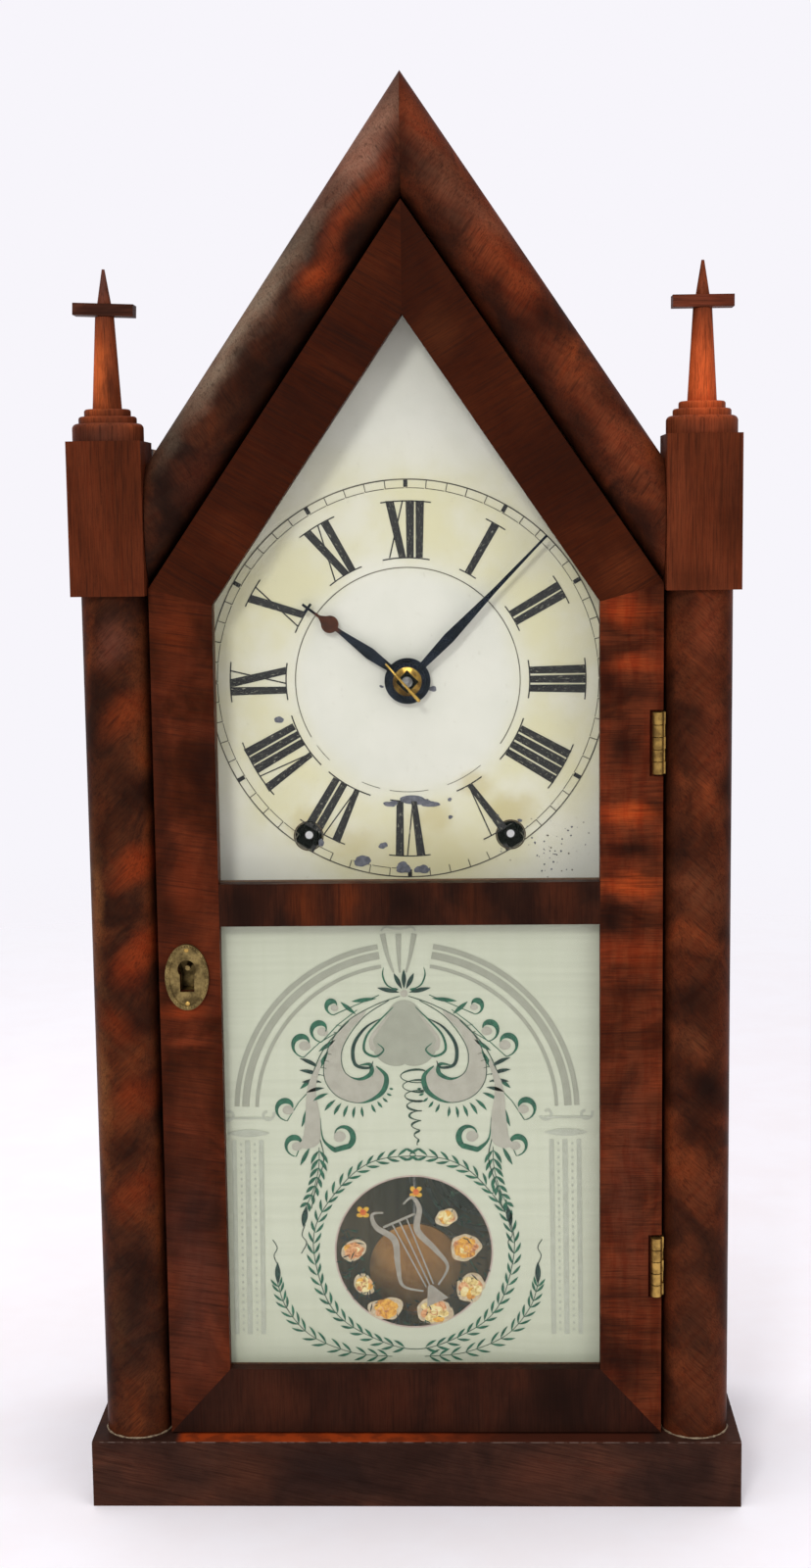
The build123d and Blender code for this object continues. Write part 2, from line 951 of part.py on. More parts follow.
def make_lock():
    face_y = door_front_y - escutcheon_thickness
    oval = Ellipse(escutcheon_width / 2, escutcheon_height / 2)
    inner = Ellipse(
        escutcheon_width / 2 - escutcheon_rim, escutcheon_height / 2 - escutcheon_rim
    )
    place = Pos(lock_x, 0, escutcheon_z)
    plate = place * slab(oval, face_y, door_front_y)
    rim = place * slab(oval, face_y - escutcheon_rim_rise, face_y)
    rim -= place * slab(inner, face_y - cut_overrun, face_y + cut_overrun)
    plate += rim
    plate -= keyhole(face_y - cut_overrun, door_front_y + cut_overrun)
    save("escutcheon", plate)

    case_front = door_back_y - lock_depth
    case = lock_pocket(0, case_front)
    hollow_bottom = bolt_bottom_z - bolt_play
    case -= block(
        lock_left_x - cut_overrun,
        lock_right_x - lock_wall,
        bolt_front_y - bolt_play,
        bolt_front_y + bolt_thickness + bolt_play,
        hollow_bottom,
        bolt_bottom_z + bolt_height + bolt_play,
    )
    case -= keyhole(case_front - cut_overrun, bolt_front_y - bolt_play)
    case += rod(
        lock_x, keyhole_z, drill_pin_radius, door_front_y + drill_pin_reach, bolt_front_y
    )
    save("lock_case", case)
    bolt = block(
        lock_left_x,
        lock_left_x + bolt_length,
        bolt_front_y,
        bolt_front_y + bolt_thickness,
        bolt_bottom_z,
        bolt_bottom_z + bolt_height,
    )
    save("lock_bolt", bolt)


def make_dial():
    half = door_opening_x - dial_side_play
    plate = slab(
        outline(gable_points(half, dial_bottom, dial_apex)),
        dial_front_y,
        dial_front_y + dial_thickness,
    )
    y0 = dial_front_y - cut_overrun
    y1 = dial_front_y + dial_thickness + cut_overrun
    plate -= rod(hands_x, hands_z, dial_pipe_hole_radius, y0, y1)
    for x in (-winding_x, winding_x):
        plate -= rod(x, winding_z, winding_hole_radius, y0, y1)
    save("dial", plate)


def turned_clockwise(points, angle):
    """Points drawn for a hand at twelve, turned to an angle and set on the hand arbor."""
    sine = math.sin(math.radians(angle))
    cosine = math.cos(math.radians(angle))
    return [
        (hands_x + x * cosine + z * sine, hands_z - x * sine + z * cosine) for x, z in points
    ]


def hand_outline(length, stations):
    """A symmetric hand outline from shares of its length and half widths."""
    right = [(width, share * length) for share, width in stations]
    left = [(-x, z) for x, z in reversed(right)]
    return right + left


def make_hands():
    y0 = minute_hand_y
    widths = (
        hand_root_half_width,
        minute_belly_half_width,
        hand_neck_half_width,
        hand_tip_half_width,
    )
    stations = list(zip(minute_stations_shares, widths))
    stations.append((1.0, hand_tip_half_width))
    blade = outline(
        turned_clockwise(
            hand_outline(minute_hand_length, stations), minute_hand_angle
        )
    )
    minute = slab(blade, y0, y0 + hand_thickness)
    minute += rod(hands_x, hands_z, minute_hub_radius, y0, y0 + hand_thickness)
    minute -= rod(
        hands_x,
        hands_z,
        centre_seat_radius + fit_play,
        y0 - cut_overrun,
        y0 + hand_thickness + cut_overrun,
    )
    save("minute_hand", minute)

    y0 = hour_hand_y
    widths = (
        hand_root_half_width,
        hour_belly_half_width,
        hand_neck_half_width,
        hand_tip_half_width,
    )
    stations = list(zip(hour_stations_shares, widths))
    stations.append((1.0, hand_tip_half_width))
    blade = outline(
        turned_clockwise(
            hand_outline(hour_hand_length, stations), hour_hand_angle
        )
    )
    hour = slab(blade, y0, y0 + hand_thickness)
    disc_z = hour_disc_share * hour_hand_length
    disc_x, disc_z = turned_clockwise([(0, disc_z)], hour_hand_angle)[0]
    hour += rod(disc_x, disc_z, hour_disc_radius, y0, y0 + hand_thickness)
    point = outline(
        turned_clockwise(
            [
                (hour_disc_radius, hour_disc_share * hour_hand_length),
                (0, hour_point_share * hour_hand_length),
                (-hour_disc_radius, hour_disc_share * hour_hand_length),
            ],
            hour_hand_angle,
        )
    )
    hour += slab(point, y0, y0 + hand_thickness)
    cross_low = hand_cross_share * hour_hand_length - hand_tip_half_width
    cross_high = hand_cross_share * hour_hand_length + hand_tip_half_width
    cross = outline(
        turned_clockwise(
            [
                (-hour_cross_half_length, cross_low),
                (hour_cross_half_length, cross_low),
                (hour_cross_half_length, cross_high),
                (-hour_cross_half_length, cross_high),
            ],
            hour_hand_angle,
        )
    )
    hour += slab(cross, y0, y0 + hand_thickness)
    hour += rod(hands_x, hands_z, hour_hub_radius, y0, y0 + hand_thickness)
    hour -= rod(
        hands_x,
        hands_z,
        pipe_seat_radius + fit_play,
        y0 - cut_overrun,
        y0 + hand_thickness + cut_overrun,
    )
    save("hour_hand", hour)

    collet_front = minute_hand_y - collet_height
    dome = Pos(hands_x, minute_hand_y, hands_z) * Rot(90, 0, 0) * Cone(
        collet_radius, collet_radius / 2, collet_height, align=(Align.CENTER, Align.CENTER, Align.MIN)
    )
    dome -= rod(
        hands_x,
        hands_z,
        centre_seat_radius + fit_play,
        collet_front - cut_overrun,
        minute_hand_y + cut_overrun,
    )
    save("hand_collet", dome)


def plate_blank(y0):
    half = plate_half_width
    corner = plate_corner
    points = [
        (-half, plate_bottom),
        (half, plate_bottom),
        (half, plate_top - corner),
        (half - corner, plate_top),
        (-half + corner, plate_top),
        (-half, plate_top - corner),
    ]
    return slab(outline(points), y0, y0 + plate_thickness)


def make_plates():
    front = plate_blank(plate_front_y)
    back = plate_blank(back_plate_front_y)
    pivot_hole = pivot_radius + fit_play
    y0 = plate_front_y - cut_overrun
    y1 = back_plate_back_y + cut_overrun
    holes = [rod(x, z, pivot_hole, y0, y1) for x, z in small_places]
    for x, z in (time_place, strike_place):
        holes.append(rod(x, z, winding_arbor_radius + fit_play, y0, y1))
    for x, z in pillar_places:
        holes.append(rod(x, z, pillar_rivet_radius + fit_play, y0, y1))
    centre_hole = rod(hands_x, hands_z, centre_arbor_radius + fit_play, y0, y1)
    for hole in holes + [centre_hole]:
        front -= hole
        back -= hole
    x, z = minute_place
    stud_front = hour_wheel_y - motion_gap
    front += rod(x, z, pivot_radius, stud_front, plate_front_y)
    post_z = verge_z + suspension_rise + suspension_gap + suspension_post_radius
    front += rod(
        hands_x,
        post_z,
        suspension_post_radius,
        pendulum_y - suspension_width / 2,
        plate_front_y,
    )
    for x in (-mounting_x, mounting_x):
        for z in screw_heights:
            back -= rod(x, z, screw_shank_radius + fit_play, y0, y1)
    save("front_plate", front)
    save("back_plate", back)
    pillars = []
    for x, z in pillar_places:
        pillar = rod(x, z, pillar_radius, front_plate_back_y, back_plate_front_y)
        pillar += rod(x, z, pillar_rivet_radius, plate_front_y, back_plate_back_y)
        pillars.append(pillar)
    save("plate_pillars", Compound(children=pillars))


def make_mounting():
    blocks = []
    for x in (-mounting_x, mounting_x):
        strip = block(
            x - mounting_block_width / 2,
            x + mounting_block_width / 2,
            back_plate_back_y,
            back_front_y,
            plate_bottom + plate_corner,
            plate_top - plate_corner,
        )
        for z in screw_heights:
            strip -= rod(
                x,
                z,
                screw_shank_radius + fit_play,
                back_plate_back_y - cut_overrun,
                back_plate_back_y + screw_length,
            )
        blocks.append(strip)
    save("mounting_blocks", Compound(children=blocks))


def ratchet_outline(centre):
    points = []
    for tooth in range(ratchet_teeth):
        angle = 2 * math.pi * tooth / ratchet_teeth
        points.append(polar(centre, ratchet_radius, angle))
        points.append(polar(centre, ratchet_radius - ratchet_depth, angle))
    return outline(points)


def make_winding(prefix, place, mate, hand):
    """The winding arbor with its ratchet, and the great wheel with its click."""
    x, z = place
    winding = rod(
        x,
        z,
        winding_arbor_radius,
        plate_front_y - motion_gap,
        back_plate_back_y,
    )
    half = winding_square / 2
    winding += block(
        x - half, x + half, winding_tip_y, plate_front_y - motion_gap / 2, z - half, z + half
    )
    ratchet_back = level(great_level) - ratchet_gap
    winding += slab(ratchet_outline(place), ratchet_back - wheel_thickness, ratchet_back)
    winding += rod(
        x,
        z,
        spring_inner_radius - fit_play,
        level(great_level) + great_wheel_thickness + ratchet_gap,
        level(spring_level) + spring_width,
    )
    save(prefix + "_winding_arbor", winding)
    facing = bearing(place, mate)
    wheel = crossed_wheel(
        place,
        great_teeth,
        great_module,
        facing,
        level(great_level),
        great_wheel_thickness,
        winding_hub_radius,
    )
    wheel -= rod(
        x,
        z,
        winding_arbor_radius + fit_play,
        level(0),
        level(plate_gap),
    )
    heel = polar(place, click_heel_radius, math.pi / 2)
    tip = polar(place, ratchet_radius + click_gap, math.pi / 2 - hand * click_lead)
    side = bearing(heel, tip) + math.pi / 2
    click = outline(
        [
            tip,
            polar(heel, click_width / 2, side),
            polar(heel, click_width / 2, side + math.pi),
        ]
    )
    wheel += slab(click, ratchet_back - wheel_thickness, ratchet_back)
    wheel += rod(
        heel[0], heel[1], click_width / 2, ratchet_back - wheel_thickness, level(great_level)
    )
    save(prefix + "_great_wheel", wheel)


def make_springs():
    springs = []
    for place in (time_place, strike_place):
        side = math.copysign(1, place[0])
        x, z = place
        y0 = level(spring_level)
        y1 = y0 + spring_width
        pack = rod(x, z, spring_outer_radius, y0, y1) - rod(
            x, z, spring_inner_radius, y0 - cut_overrun, y1 + cut_overrun
        )
        px, pz = side * (plate_half_width - pillar_inset), plate_bottom + pillar_inset
        loop_radius = pillar_radius + fit_play
        inward = bearing((px, pz), (x, z))
        reach = math.dist((px, pz), (x, z)) - spring_outer_radius + cut_overrun
        across = inward + side * math.pi / 2
        near = polar((px, pz), loop_radius, across)
        tail = outline(
            [
                near,
                polar(near, reach, inward),
                polar(polar(near, reach, inward), spring_tail_thickness, across),
                polar(near, spring_tail_thickness, across),
            ]
        )
        loop = rod(px, pz, loop_radius + spring_tail_thickness, y0, y1)
        loop -= rod(px, pz, loop_radius, y0 - cut_overrun, y1 + cut_overrun)
        springs.append(pack + slab(tail, y0, y1) + loop)
    save("mainsprings", Compound(children=springs))


def pinion(place, teeth, module, mate, middle, thickness):
    """A cut pinion that reaches past both faces of the wheel it meets."""
    face = pinion_leaves(place, teeth, module, bearing(place, mate))
    half = thickness / 2 + pinion_overlap
    return slab(face, middle - half, middle + half)


def make_time_train():
    middle = level(great_level) + great_wheel_thickness / 2
    second = arbor(second_place)
    second += pinion(
        second_place,
        second_pinion_teeth,
        great_module,
        time_place,
        middle,
        great_wheel_thickness,
    )
    second += crossed_wheel(
        second_place,
        second_teeth,
        second_module,
        bearing(second_place, centre_place),
        level(second_level),
        wheel_thickness,
    )
    save("time_second_wheel", second)

    x, z = centre_place
    centre = rod(x, z, centre_arbor_radius, minute_hand_y + hand_thickness, back_plate_back_y)
    centre += rod(x, z, centre_seat_radius, arbor_tip_y, minute_hand_y + hand_thickness)
    middle = level(second_level) + wheel_thickness / 2
    centre += slab(
        pinion_leaves(
            centre_place,
            centre_pinion_teeth,
            second_module,
            bearing(centre_place, second_place),
        ),
        level(end_play),
        level(second_level) + wheel_thickness + end_play,
    )
    centre += crossed_wheel(
        centre_place,
        centre_teeth,
        centre_module,
        bearing(centre_place, third_place),
        level(centre_level),
        wheel_thickness,
    )
    centre += slab(
        pinion_leaves(
            centre_place, cannon_teeth, cannon_module, bearing(centre_place, minute_place)
        ),
        minute_wheel_y - motion_gap / 2,
        minute_wheel_y + wheel_thickness + motion_gap / 2,
    )
    save("centre_wheel", centre)

    third = arbor(third_place)
    third += pinion(
        third_place,
        third_pinion_teeth,
        centre_module,
        centre_place,
        level(centre_level) + wheel_thickness / 2,
        wheel_thickness,
    )
    third += crossed_wheel(
        third_place,
        third_teeth,
        third_module,
        bearing(third_place, escape_place),
        level(third_level),
        wheel_thickness,
    )
    save("third_wheel", third)

    escape = arbor(escape_place)
    escape += pinion(
        escape_place,
        escape_pinion_teeth,
        third_module,
        third_place,
        level(third_level) + wheel_thickness / 2,
        wheel_thickness,
    )
    points = []
    for tooth in range(escape_teeth):
        angle = 2 * math.pi * tooth / escape_teeth
        pitch = 2 * math.pi / escape_teeth
        root = escape_radius - escape_tooth_depth
        points.append(polar(escape_place, root, angle))
        points.append(polar(escape_place, escape_radius, angle + escape_hook * pitch))
        points.append(polar(escape_place, root, angle + escape_hook * pitch))
    wheel = slab(outline(points), level(escape_level), level(escape_level) + wheel_thickness)
    inner = escape_radius - escape_tooth_depth - rim_width / 2
    for window in spoke_windows(escape_place, inner, hub_radius):
        wheel -= Pos(0, level(escape_level) - case_depth / 2, 0) * window
    escape += wheel
    save("escape_wheel", escape)


def make_motion_work():
    x, z = minute_place
    wheel = slab(
        wheel_teeth(
            minute_place,
            minute_wheel_teeth,
            cannon_module,
            bearing(minute_place, centre_place),
        ),
        minute_wheel_y,
        minute_wheel_y + wheel_thickness,
    )
    wheel += slab(
        pinion_leaves(
            minute_place,
            minute_pinion_teeth,
            hour_module,
            bearing(minute_place, centre_place),
        ),
        hour_wheel_y - motion_gap / 2,
        minute_wheel_y,
    )
    wheel -= rod(
        x,
        z,
        pivot_radius + fit_play,
        hour_wheel_y - motion_gap - cut_overrun,
        plate_front_y,
    )
    save("minute_wheel", wheel)

    x, z = centre_place
    wheel = slab(
        wheel_teeth(
            centre_place,
            hour_wheel_teeth,
            hour_module,
            bearing(centre_place, minute_place),
        ),
        hour_wheel_y,
        hour_wheel_y + wheel_thickness,
    )
    wheel += rod(x, z, pipe_radius, hour_hand_y + hand_thickness, hour_wheel_y + wheel_thickness)
    wheel += rod(x, z, pipe_seat_radius, hour_hand_y, hour_wheel_y)
    wheel -= rod(
        x,
        z,
        centre_arbor_radius + fit_play,
        hour_hand_y - cut_overrun,
        plate_front_y,
    )
    save("hour_wheel", wheel)


def make_strike_train():
    middle = level(great_level) + great_wheel_thickness / 2
    second = arbor(strike_second_place)
    second += pinion(
        strike_second_place,
        strike_pinion_teeth,
        great_module,
        strike_place,
        middle,
        great_wheel_thickness,
    )
    second += crossed_wheel(
        strike_second_place,
        strike_second_teeth,
        strike_module,
        bearing(strike_second_place, warning_place),
        level(strike_second_level),
        wheel_thickness,
    )
    points = []
    for tooth in range(lifting_star_points):
        angle = 2 * math.pi * tooth / lifting_star_points
        pitch = 2 * math.pi / lifting_star_points
        points.append(polar(strike_second_place, lifting_star_radius, angle))
        points.append(
            polar(strike_second_place, lifting_star_radius - lifting_star_depth, angle + pitch / 2)
        )
    second += slab(outline(points), level(star_level), level(star_level) + star_thickness)
    save("strike_second_wheel", second)

    warning = arbor(warning_place)
    warning += pinion(
        warning_place,
        warning_pinion_teeth,
        strike_module,
        strike_second_place,
        level(strike_second_level) + wheel_thickness / 2,
        wheel_thickness,
    )
    warning += crossed_wheel(
        warning_place,
        warning_teeth,
        warning_module,
        bearing(warning_place, fly_place),
        level(warning_level),
        wheel_thickness,
    )
    save("warning_wheel", warning)

    fly = arbor(fly_place)
    fly += pinion(
        fly_place,
        fly_pinion_teeth,
        warning_module,
        warning_place,
        level(warning_level) + wheel_thickness / 2,
        wheel_thickness,
    )
    x, z = fly_place
    fly += block(
        x - fly_half_span,
        x + fly_half_span,
        level(fly_level),
        level(fly_level) + fly_height,
        z - fly_thickness / 2,
        z + fly_thickness / 2,
    )
    save("fly", fly)


def make_verge():
    x, z = verge_place
    crutch_y = plate_front_y - motion_gap - crutch_radius
    verge = arbor(verge_place, front=crutch_y)
    y0 = level(escape_level)
    y1 = y0 + wheel_thickness
    centre_line = math.radians(escape_bearing) + math.pi
    clear_radius = escape_radius + pallet_clearance
    spread = math.asin(pallet_width / escape_radius)
    anchor = [polar(escape_place, escape_drop + verge_hub_half, centre_line)]
    for side in (-1, 1):
        angle = centre_line + side * pallet_half_angle
        limb = [
            polar(escape_place, clear_radius + verge_strap_width, angle + side * spread),
            polar(escape_place, clear_radius, angle),
            polar(escape_place, clear_radius + verge_strap_width / 2, angle - side * spread),
        ]
        if side < 0:
            anchor += limb + [polar(escape_place, escape_drop - verge_hub_half, centre_line)]
        else:
            anchor += reversed(limb)
    verge += slab(outline(anchor), y0, y1)
    verge += post(x, crutch_y, crutch_radius, z - crutch_length, z)
    foot_z = z - crutch_length
    prong_x = rod_radius + crutch_fork_gap + crutch_radius
    bar_y = crutch_y
    verge += block(
        x - prong_x - crutch_bar_half,
        x + prong_x + crutch_bar_half,
        bar_y - crutch_bar_half,
        bar_y + crutch_bar_half,
        foot_z - crutch_bar_half,
        foot_z + crutch_bar_half,
    )
    for side in (-1, 1):
        verge += rod(
            x + side * prong_x, foot_z, crutch_radius, pendulum_y - 2 * rod_radius, bar_y
        )
    save("verge", verge)


def make_pendulum():
    x = hands_x
    top = verge_z + suspension_rise
    strip = block(
        x - suspension_thickness / 2,
        x + suspension_thickness / 2,
        pendulum_y - suspension_width / 2,
        pendulum_y + suspension_width / 2,
        top - suspension_length,
        top,
    )
    rod_top = top - suspension_length
    pendulum = strip + post(x, pendulum_y, rod_radius, hands_z + rod_ring_radius, rod_top)
    ring = Torus(rod_ring_radius, rod_radius)
    pendulum += Pos(x, pendulum_y, hands_z) * Rot(90, 0, 0) * ring
    pendulum += post(x, pendulum_y, rod_radius, rod_bottom_z, hands_z - rod_ring_radius)
    save("pendulum_rod", pendulum)
    half = bob_half_thickness
    middle = bob_radius * bob_middle_share
    swell = (half + bob_rim) * bob_swell_share
    profile = make_face(
        [
            Line((0, half), (0, -half)),
            ThreePointArc((0, -half), (middle, -swell), (bob_radius, -bob_rim)),
            Line((bob_radius, -bob_rim), (bob_radius, bob_rim)),
            ThreePointArc((bob_radius, bob_rim), (middle, swell), (0, half)),
        ]
    )
    lens = revolve(profile, axis=Axis.Y)
    bob = Pos(x, pendulum_y, bob_z) * lens
    bob -= post(
        x, pendulum_y, rod_radius + fit_play, bob_z - 2 * bob_radius, bob_z + 2 * bob_radius
    )
    save("pendulum_bob", bob)
    nut_top = bob_z - bob_radius - rating_nut_gap
    nut = post(x, pendulum_y, rating_nut_radius, nut_top - rating_nut_height, nut_top)
    nut -= post(
        x,
        pendulum_y,
        rod_radius + fit_play,
        nut_top - rating_nut_height - cut_overrun,
        nut_top + cut_overrun,
    )
    save("rating_nut", nut)


def make_hammer():
    arm_y = back_plate_back_y + hammer_arm_gap
    shape = arbor(hammer_place, back=arm_y + hammer_rod_radius)
    head_x = gong_x - gong_outer_radius - gong_wire_width - hammer_head_radius - hammer_strike_gap
    x, z = hammer_place
    run = math.dist((x, z), (head_x, hammer_head_z))
    tilt = math.degrees(math.atan2(x - head_x, z - hammer_head_z))
    arm = Pos(0, 0, -run / 2) * Cylinder(hammer_rod_radius, run)
    shape += Pos(x, arm_y, z) * Rot(0, tilt, 0) * arm
    head = rod(
        head_x,
        hammer_head_z,
        hammer_head_radius,
        arm_y - hammer_head_front,
        arm_y + (back_front_y - arm_y) * hammer_head_back_share,
    )
    shape += head
    star_angle = bearing(hammer_place, strike_second_place)
    reach = (
        math.dist(hammer_place, strike_second_place) - lifting_star_radius - 2 * suspension_gap
    )
    tip = polar(hammer_place, reach, star_angle)
    side = star_angle + math.pi / 2
    tail = outline(
        [
            polar(hammer_place, arbor_radius, side),
            polar(tip, arbor_radius / 2, side),
            polar(tip, arbor_radius / 2, side + math.pi),
            polar(hammer_place, arbor_radius, side + math.pi),
        ]
    )
    shape += slab(tail, level(star_level), level(star_level) + star_thickness)
    save("hammer", shape)


def make_gong():
    """A spiral strip gong of half turns, each half a pitch wider than the one before."""
    start_x = gong_first_radius
    segments = []
    x0 = start_x
    side = 1
    for half_turn in range(2 * gong_turns):
        radius = gong_first_radius + half_turn * gong_pitch / 2
        x1 = x0 - side * 2 * radius
        middle = (x0 + x1) / 2
        segments.append(ThreePointArc((x0, 0), (middle, side * radius), (x1, 0)))
        x0 = x1
        side = -side
    path = Wire(segments)
    section = Plane(origin=(start_x, 0, 0), x_dir=(1, 0, 0), z_dir=(0, 1, 0)) * Rectangle(
        gong_wire_height, gong_wire_width
    )
    coil = sweep(section, path=path)
    coil = Pos(gong_x, gong_plane_y, gong_z) * Rot(90, 0, 0) * coil
    save("gong_coil", coil)
    points = [path @ (step / gong_samples) for step in range(gong_samples + 1)]
    apart = gong_samples // (2 * gong_turns)
    least = min(
        (first - second).length
        for place, first in enumerate(points)
        for second in points[place + apart :]
    )
    print("gong: least gap to itself", round(least - gong_wire_height, 2))
    base = rod(gong_x, gong_z, gong_base_radius, back_front_y - gong_base_height, back_front_y)
    boss_x = gong_x + start_x
    base += rod(boss_x, gong_z, gong_boss_radius, gong_plane_y + gong_wire_width / 2, back_front_y)
    save("gong_base", base)


make_base()
make_sides()
make_roof()
make_columns()
make_finials()
make_gable_mouldings()
make_door()
make_glazing()
make_hinges()
make_lock()
make_dial()
make_hands()
make_plates()
make_mounting()
make_winding("time", time_place, second_place, 1)
make_winding("strike", strike_place, strike_second_place, -1)
make_springs()
make_time_train()
make_motion_work()
make_strike_train()
make_verge()
make_pendulum()
make_hammer()
make_gong()
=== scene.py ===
"""Looks of the steeple clock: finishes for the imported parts, the painted dial and tablet, small
fittings, the floor, the lights and the camera. Sizes are written in millimetres and turned into metres
where they are used.
"""

import random
from math import atan2, cos, degrees, hypot, pi, radians, sin

import bmesh
import bpy
from mathutils import Matrix, Vector


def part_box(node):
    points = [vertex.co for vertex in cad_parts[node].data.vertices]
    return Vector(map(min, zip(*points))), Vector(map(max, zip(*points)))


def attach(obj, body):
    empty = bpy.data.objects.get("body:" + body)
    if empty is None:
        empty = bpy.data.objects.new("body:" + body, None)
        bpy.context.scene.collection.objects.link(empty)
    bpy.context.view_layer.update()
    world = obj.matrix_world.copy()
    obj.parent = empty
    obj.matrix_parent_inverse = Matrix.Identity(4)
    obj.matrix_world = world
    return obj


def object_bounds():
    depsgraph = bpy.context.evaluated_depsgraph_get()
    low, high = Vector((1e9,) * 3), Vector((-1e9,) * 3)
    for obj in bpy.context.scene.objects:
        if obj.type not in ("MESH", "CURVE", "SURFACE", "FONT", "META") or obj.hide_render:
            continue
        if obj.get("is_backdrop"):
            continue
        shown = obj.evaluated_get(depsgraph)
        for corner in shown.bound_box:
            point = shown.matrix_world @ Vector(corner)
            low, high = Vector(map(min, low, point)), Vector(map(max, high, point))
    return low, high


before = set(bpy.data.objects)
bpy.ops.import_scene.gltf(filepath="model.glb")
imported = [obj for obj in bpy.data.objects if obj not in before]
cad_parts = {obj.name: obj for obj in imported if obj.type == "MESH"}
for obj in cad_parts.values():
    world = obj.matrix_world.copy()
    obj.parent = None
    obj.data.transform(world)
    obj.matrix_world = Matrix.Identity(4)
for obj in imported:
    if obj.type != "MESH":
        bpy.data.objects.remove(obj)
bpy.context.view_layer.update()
link = bpy.context.scene.collection.objects.link
mm = 0.001
far = 1e6
spot_growth = 1.35
finishes = {}

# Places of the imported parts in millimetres, as (x, z) on the front plane or as one measure


def middle(node):
    low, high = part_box(node)
    return (low[0] + high[0]) / 2 / mm, (low[2] + high[2]) / 2 / mm


def front(node):
    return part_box(node)[0][1] / mm


def back(node):
    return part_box(node)[1][1] / mm


hands_at = middle("hand_collet")
winding_x, winding_z = middle("time_winding_arbor")
lock_at = middle("escutcheon")
lock_front = front("escutcheon")
dial_y = front("dial")
glass_back = back("tablet_glass")
column_x = middle("column_right")[0]
column_y = back("column_right")
base_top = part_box("base")[1][2] / mm

# The lean of the gable's grain from the vertical, in degrees
slope = 34.4


def tone(red, green, blue):
    """A display colour, 0 to 255 a channel, as Blender's linear colour."""
    channels = (red, green, blue)
    linear = [c / 255 / 12.92 if c <= 10 else ((c / 255 + 0.055) / 1.055) ** 2.4 for c in channels]
    return (*linear, 1)


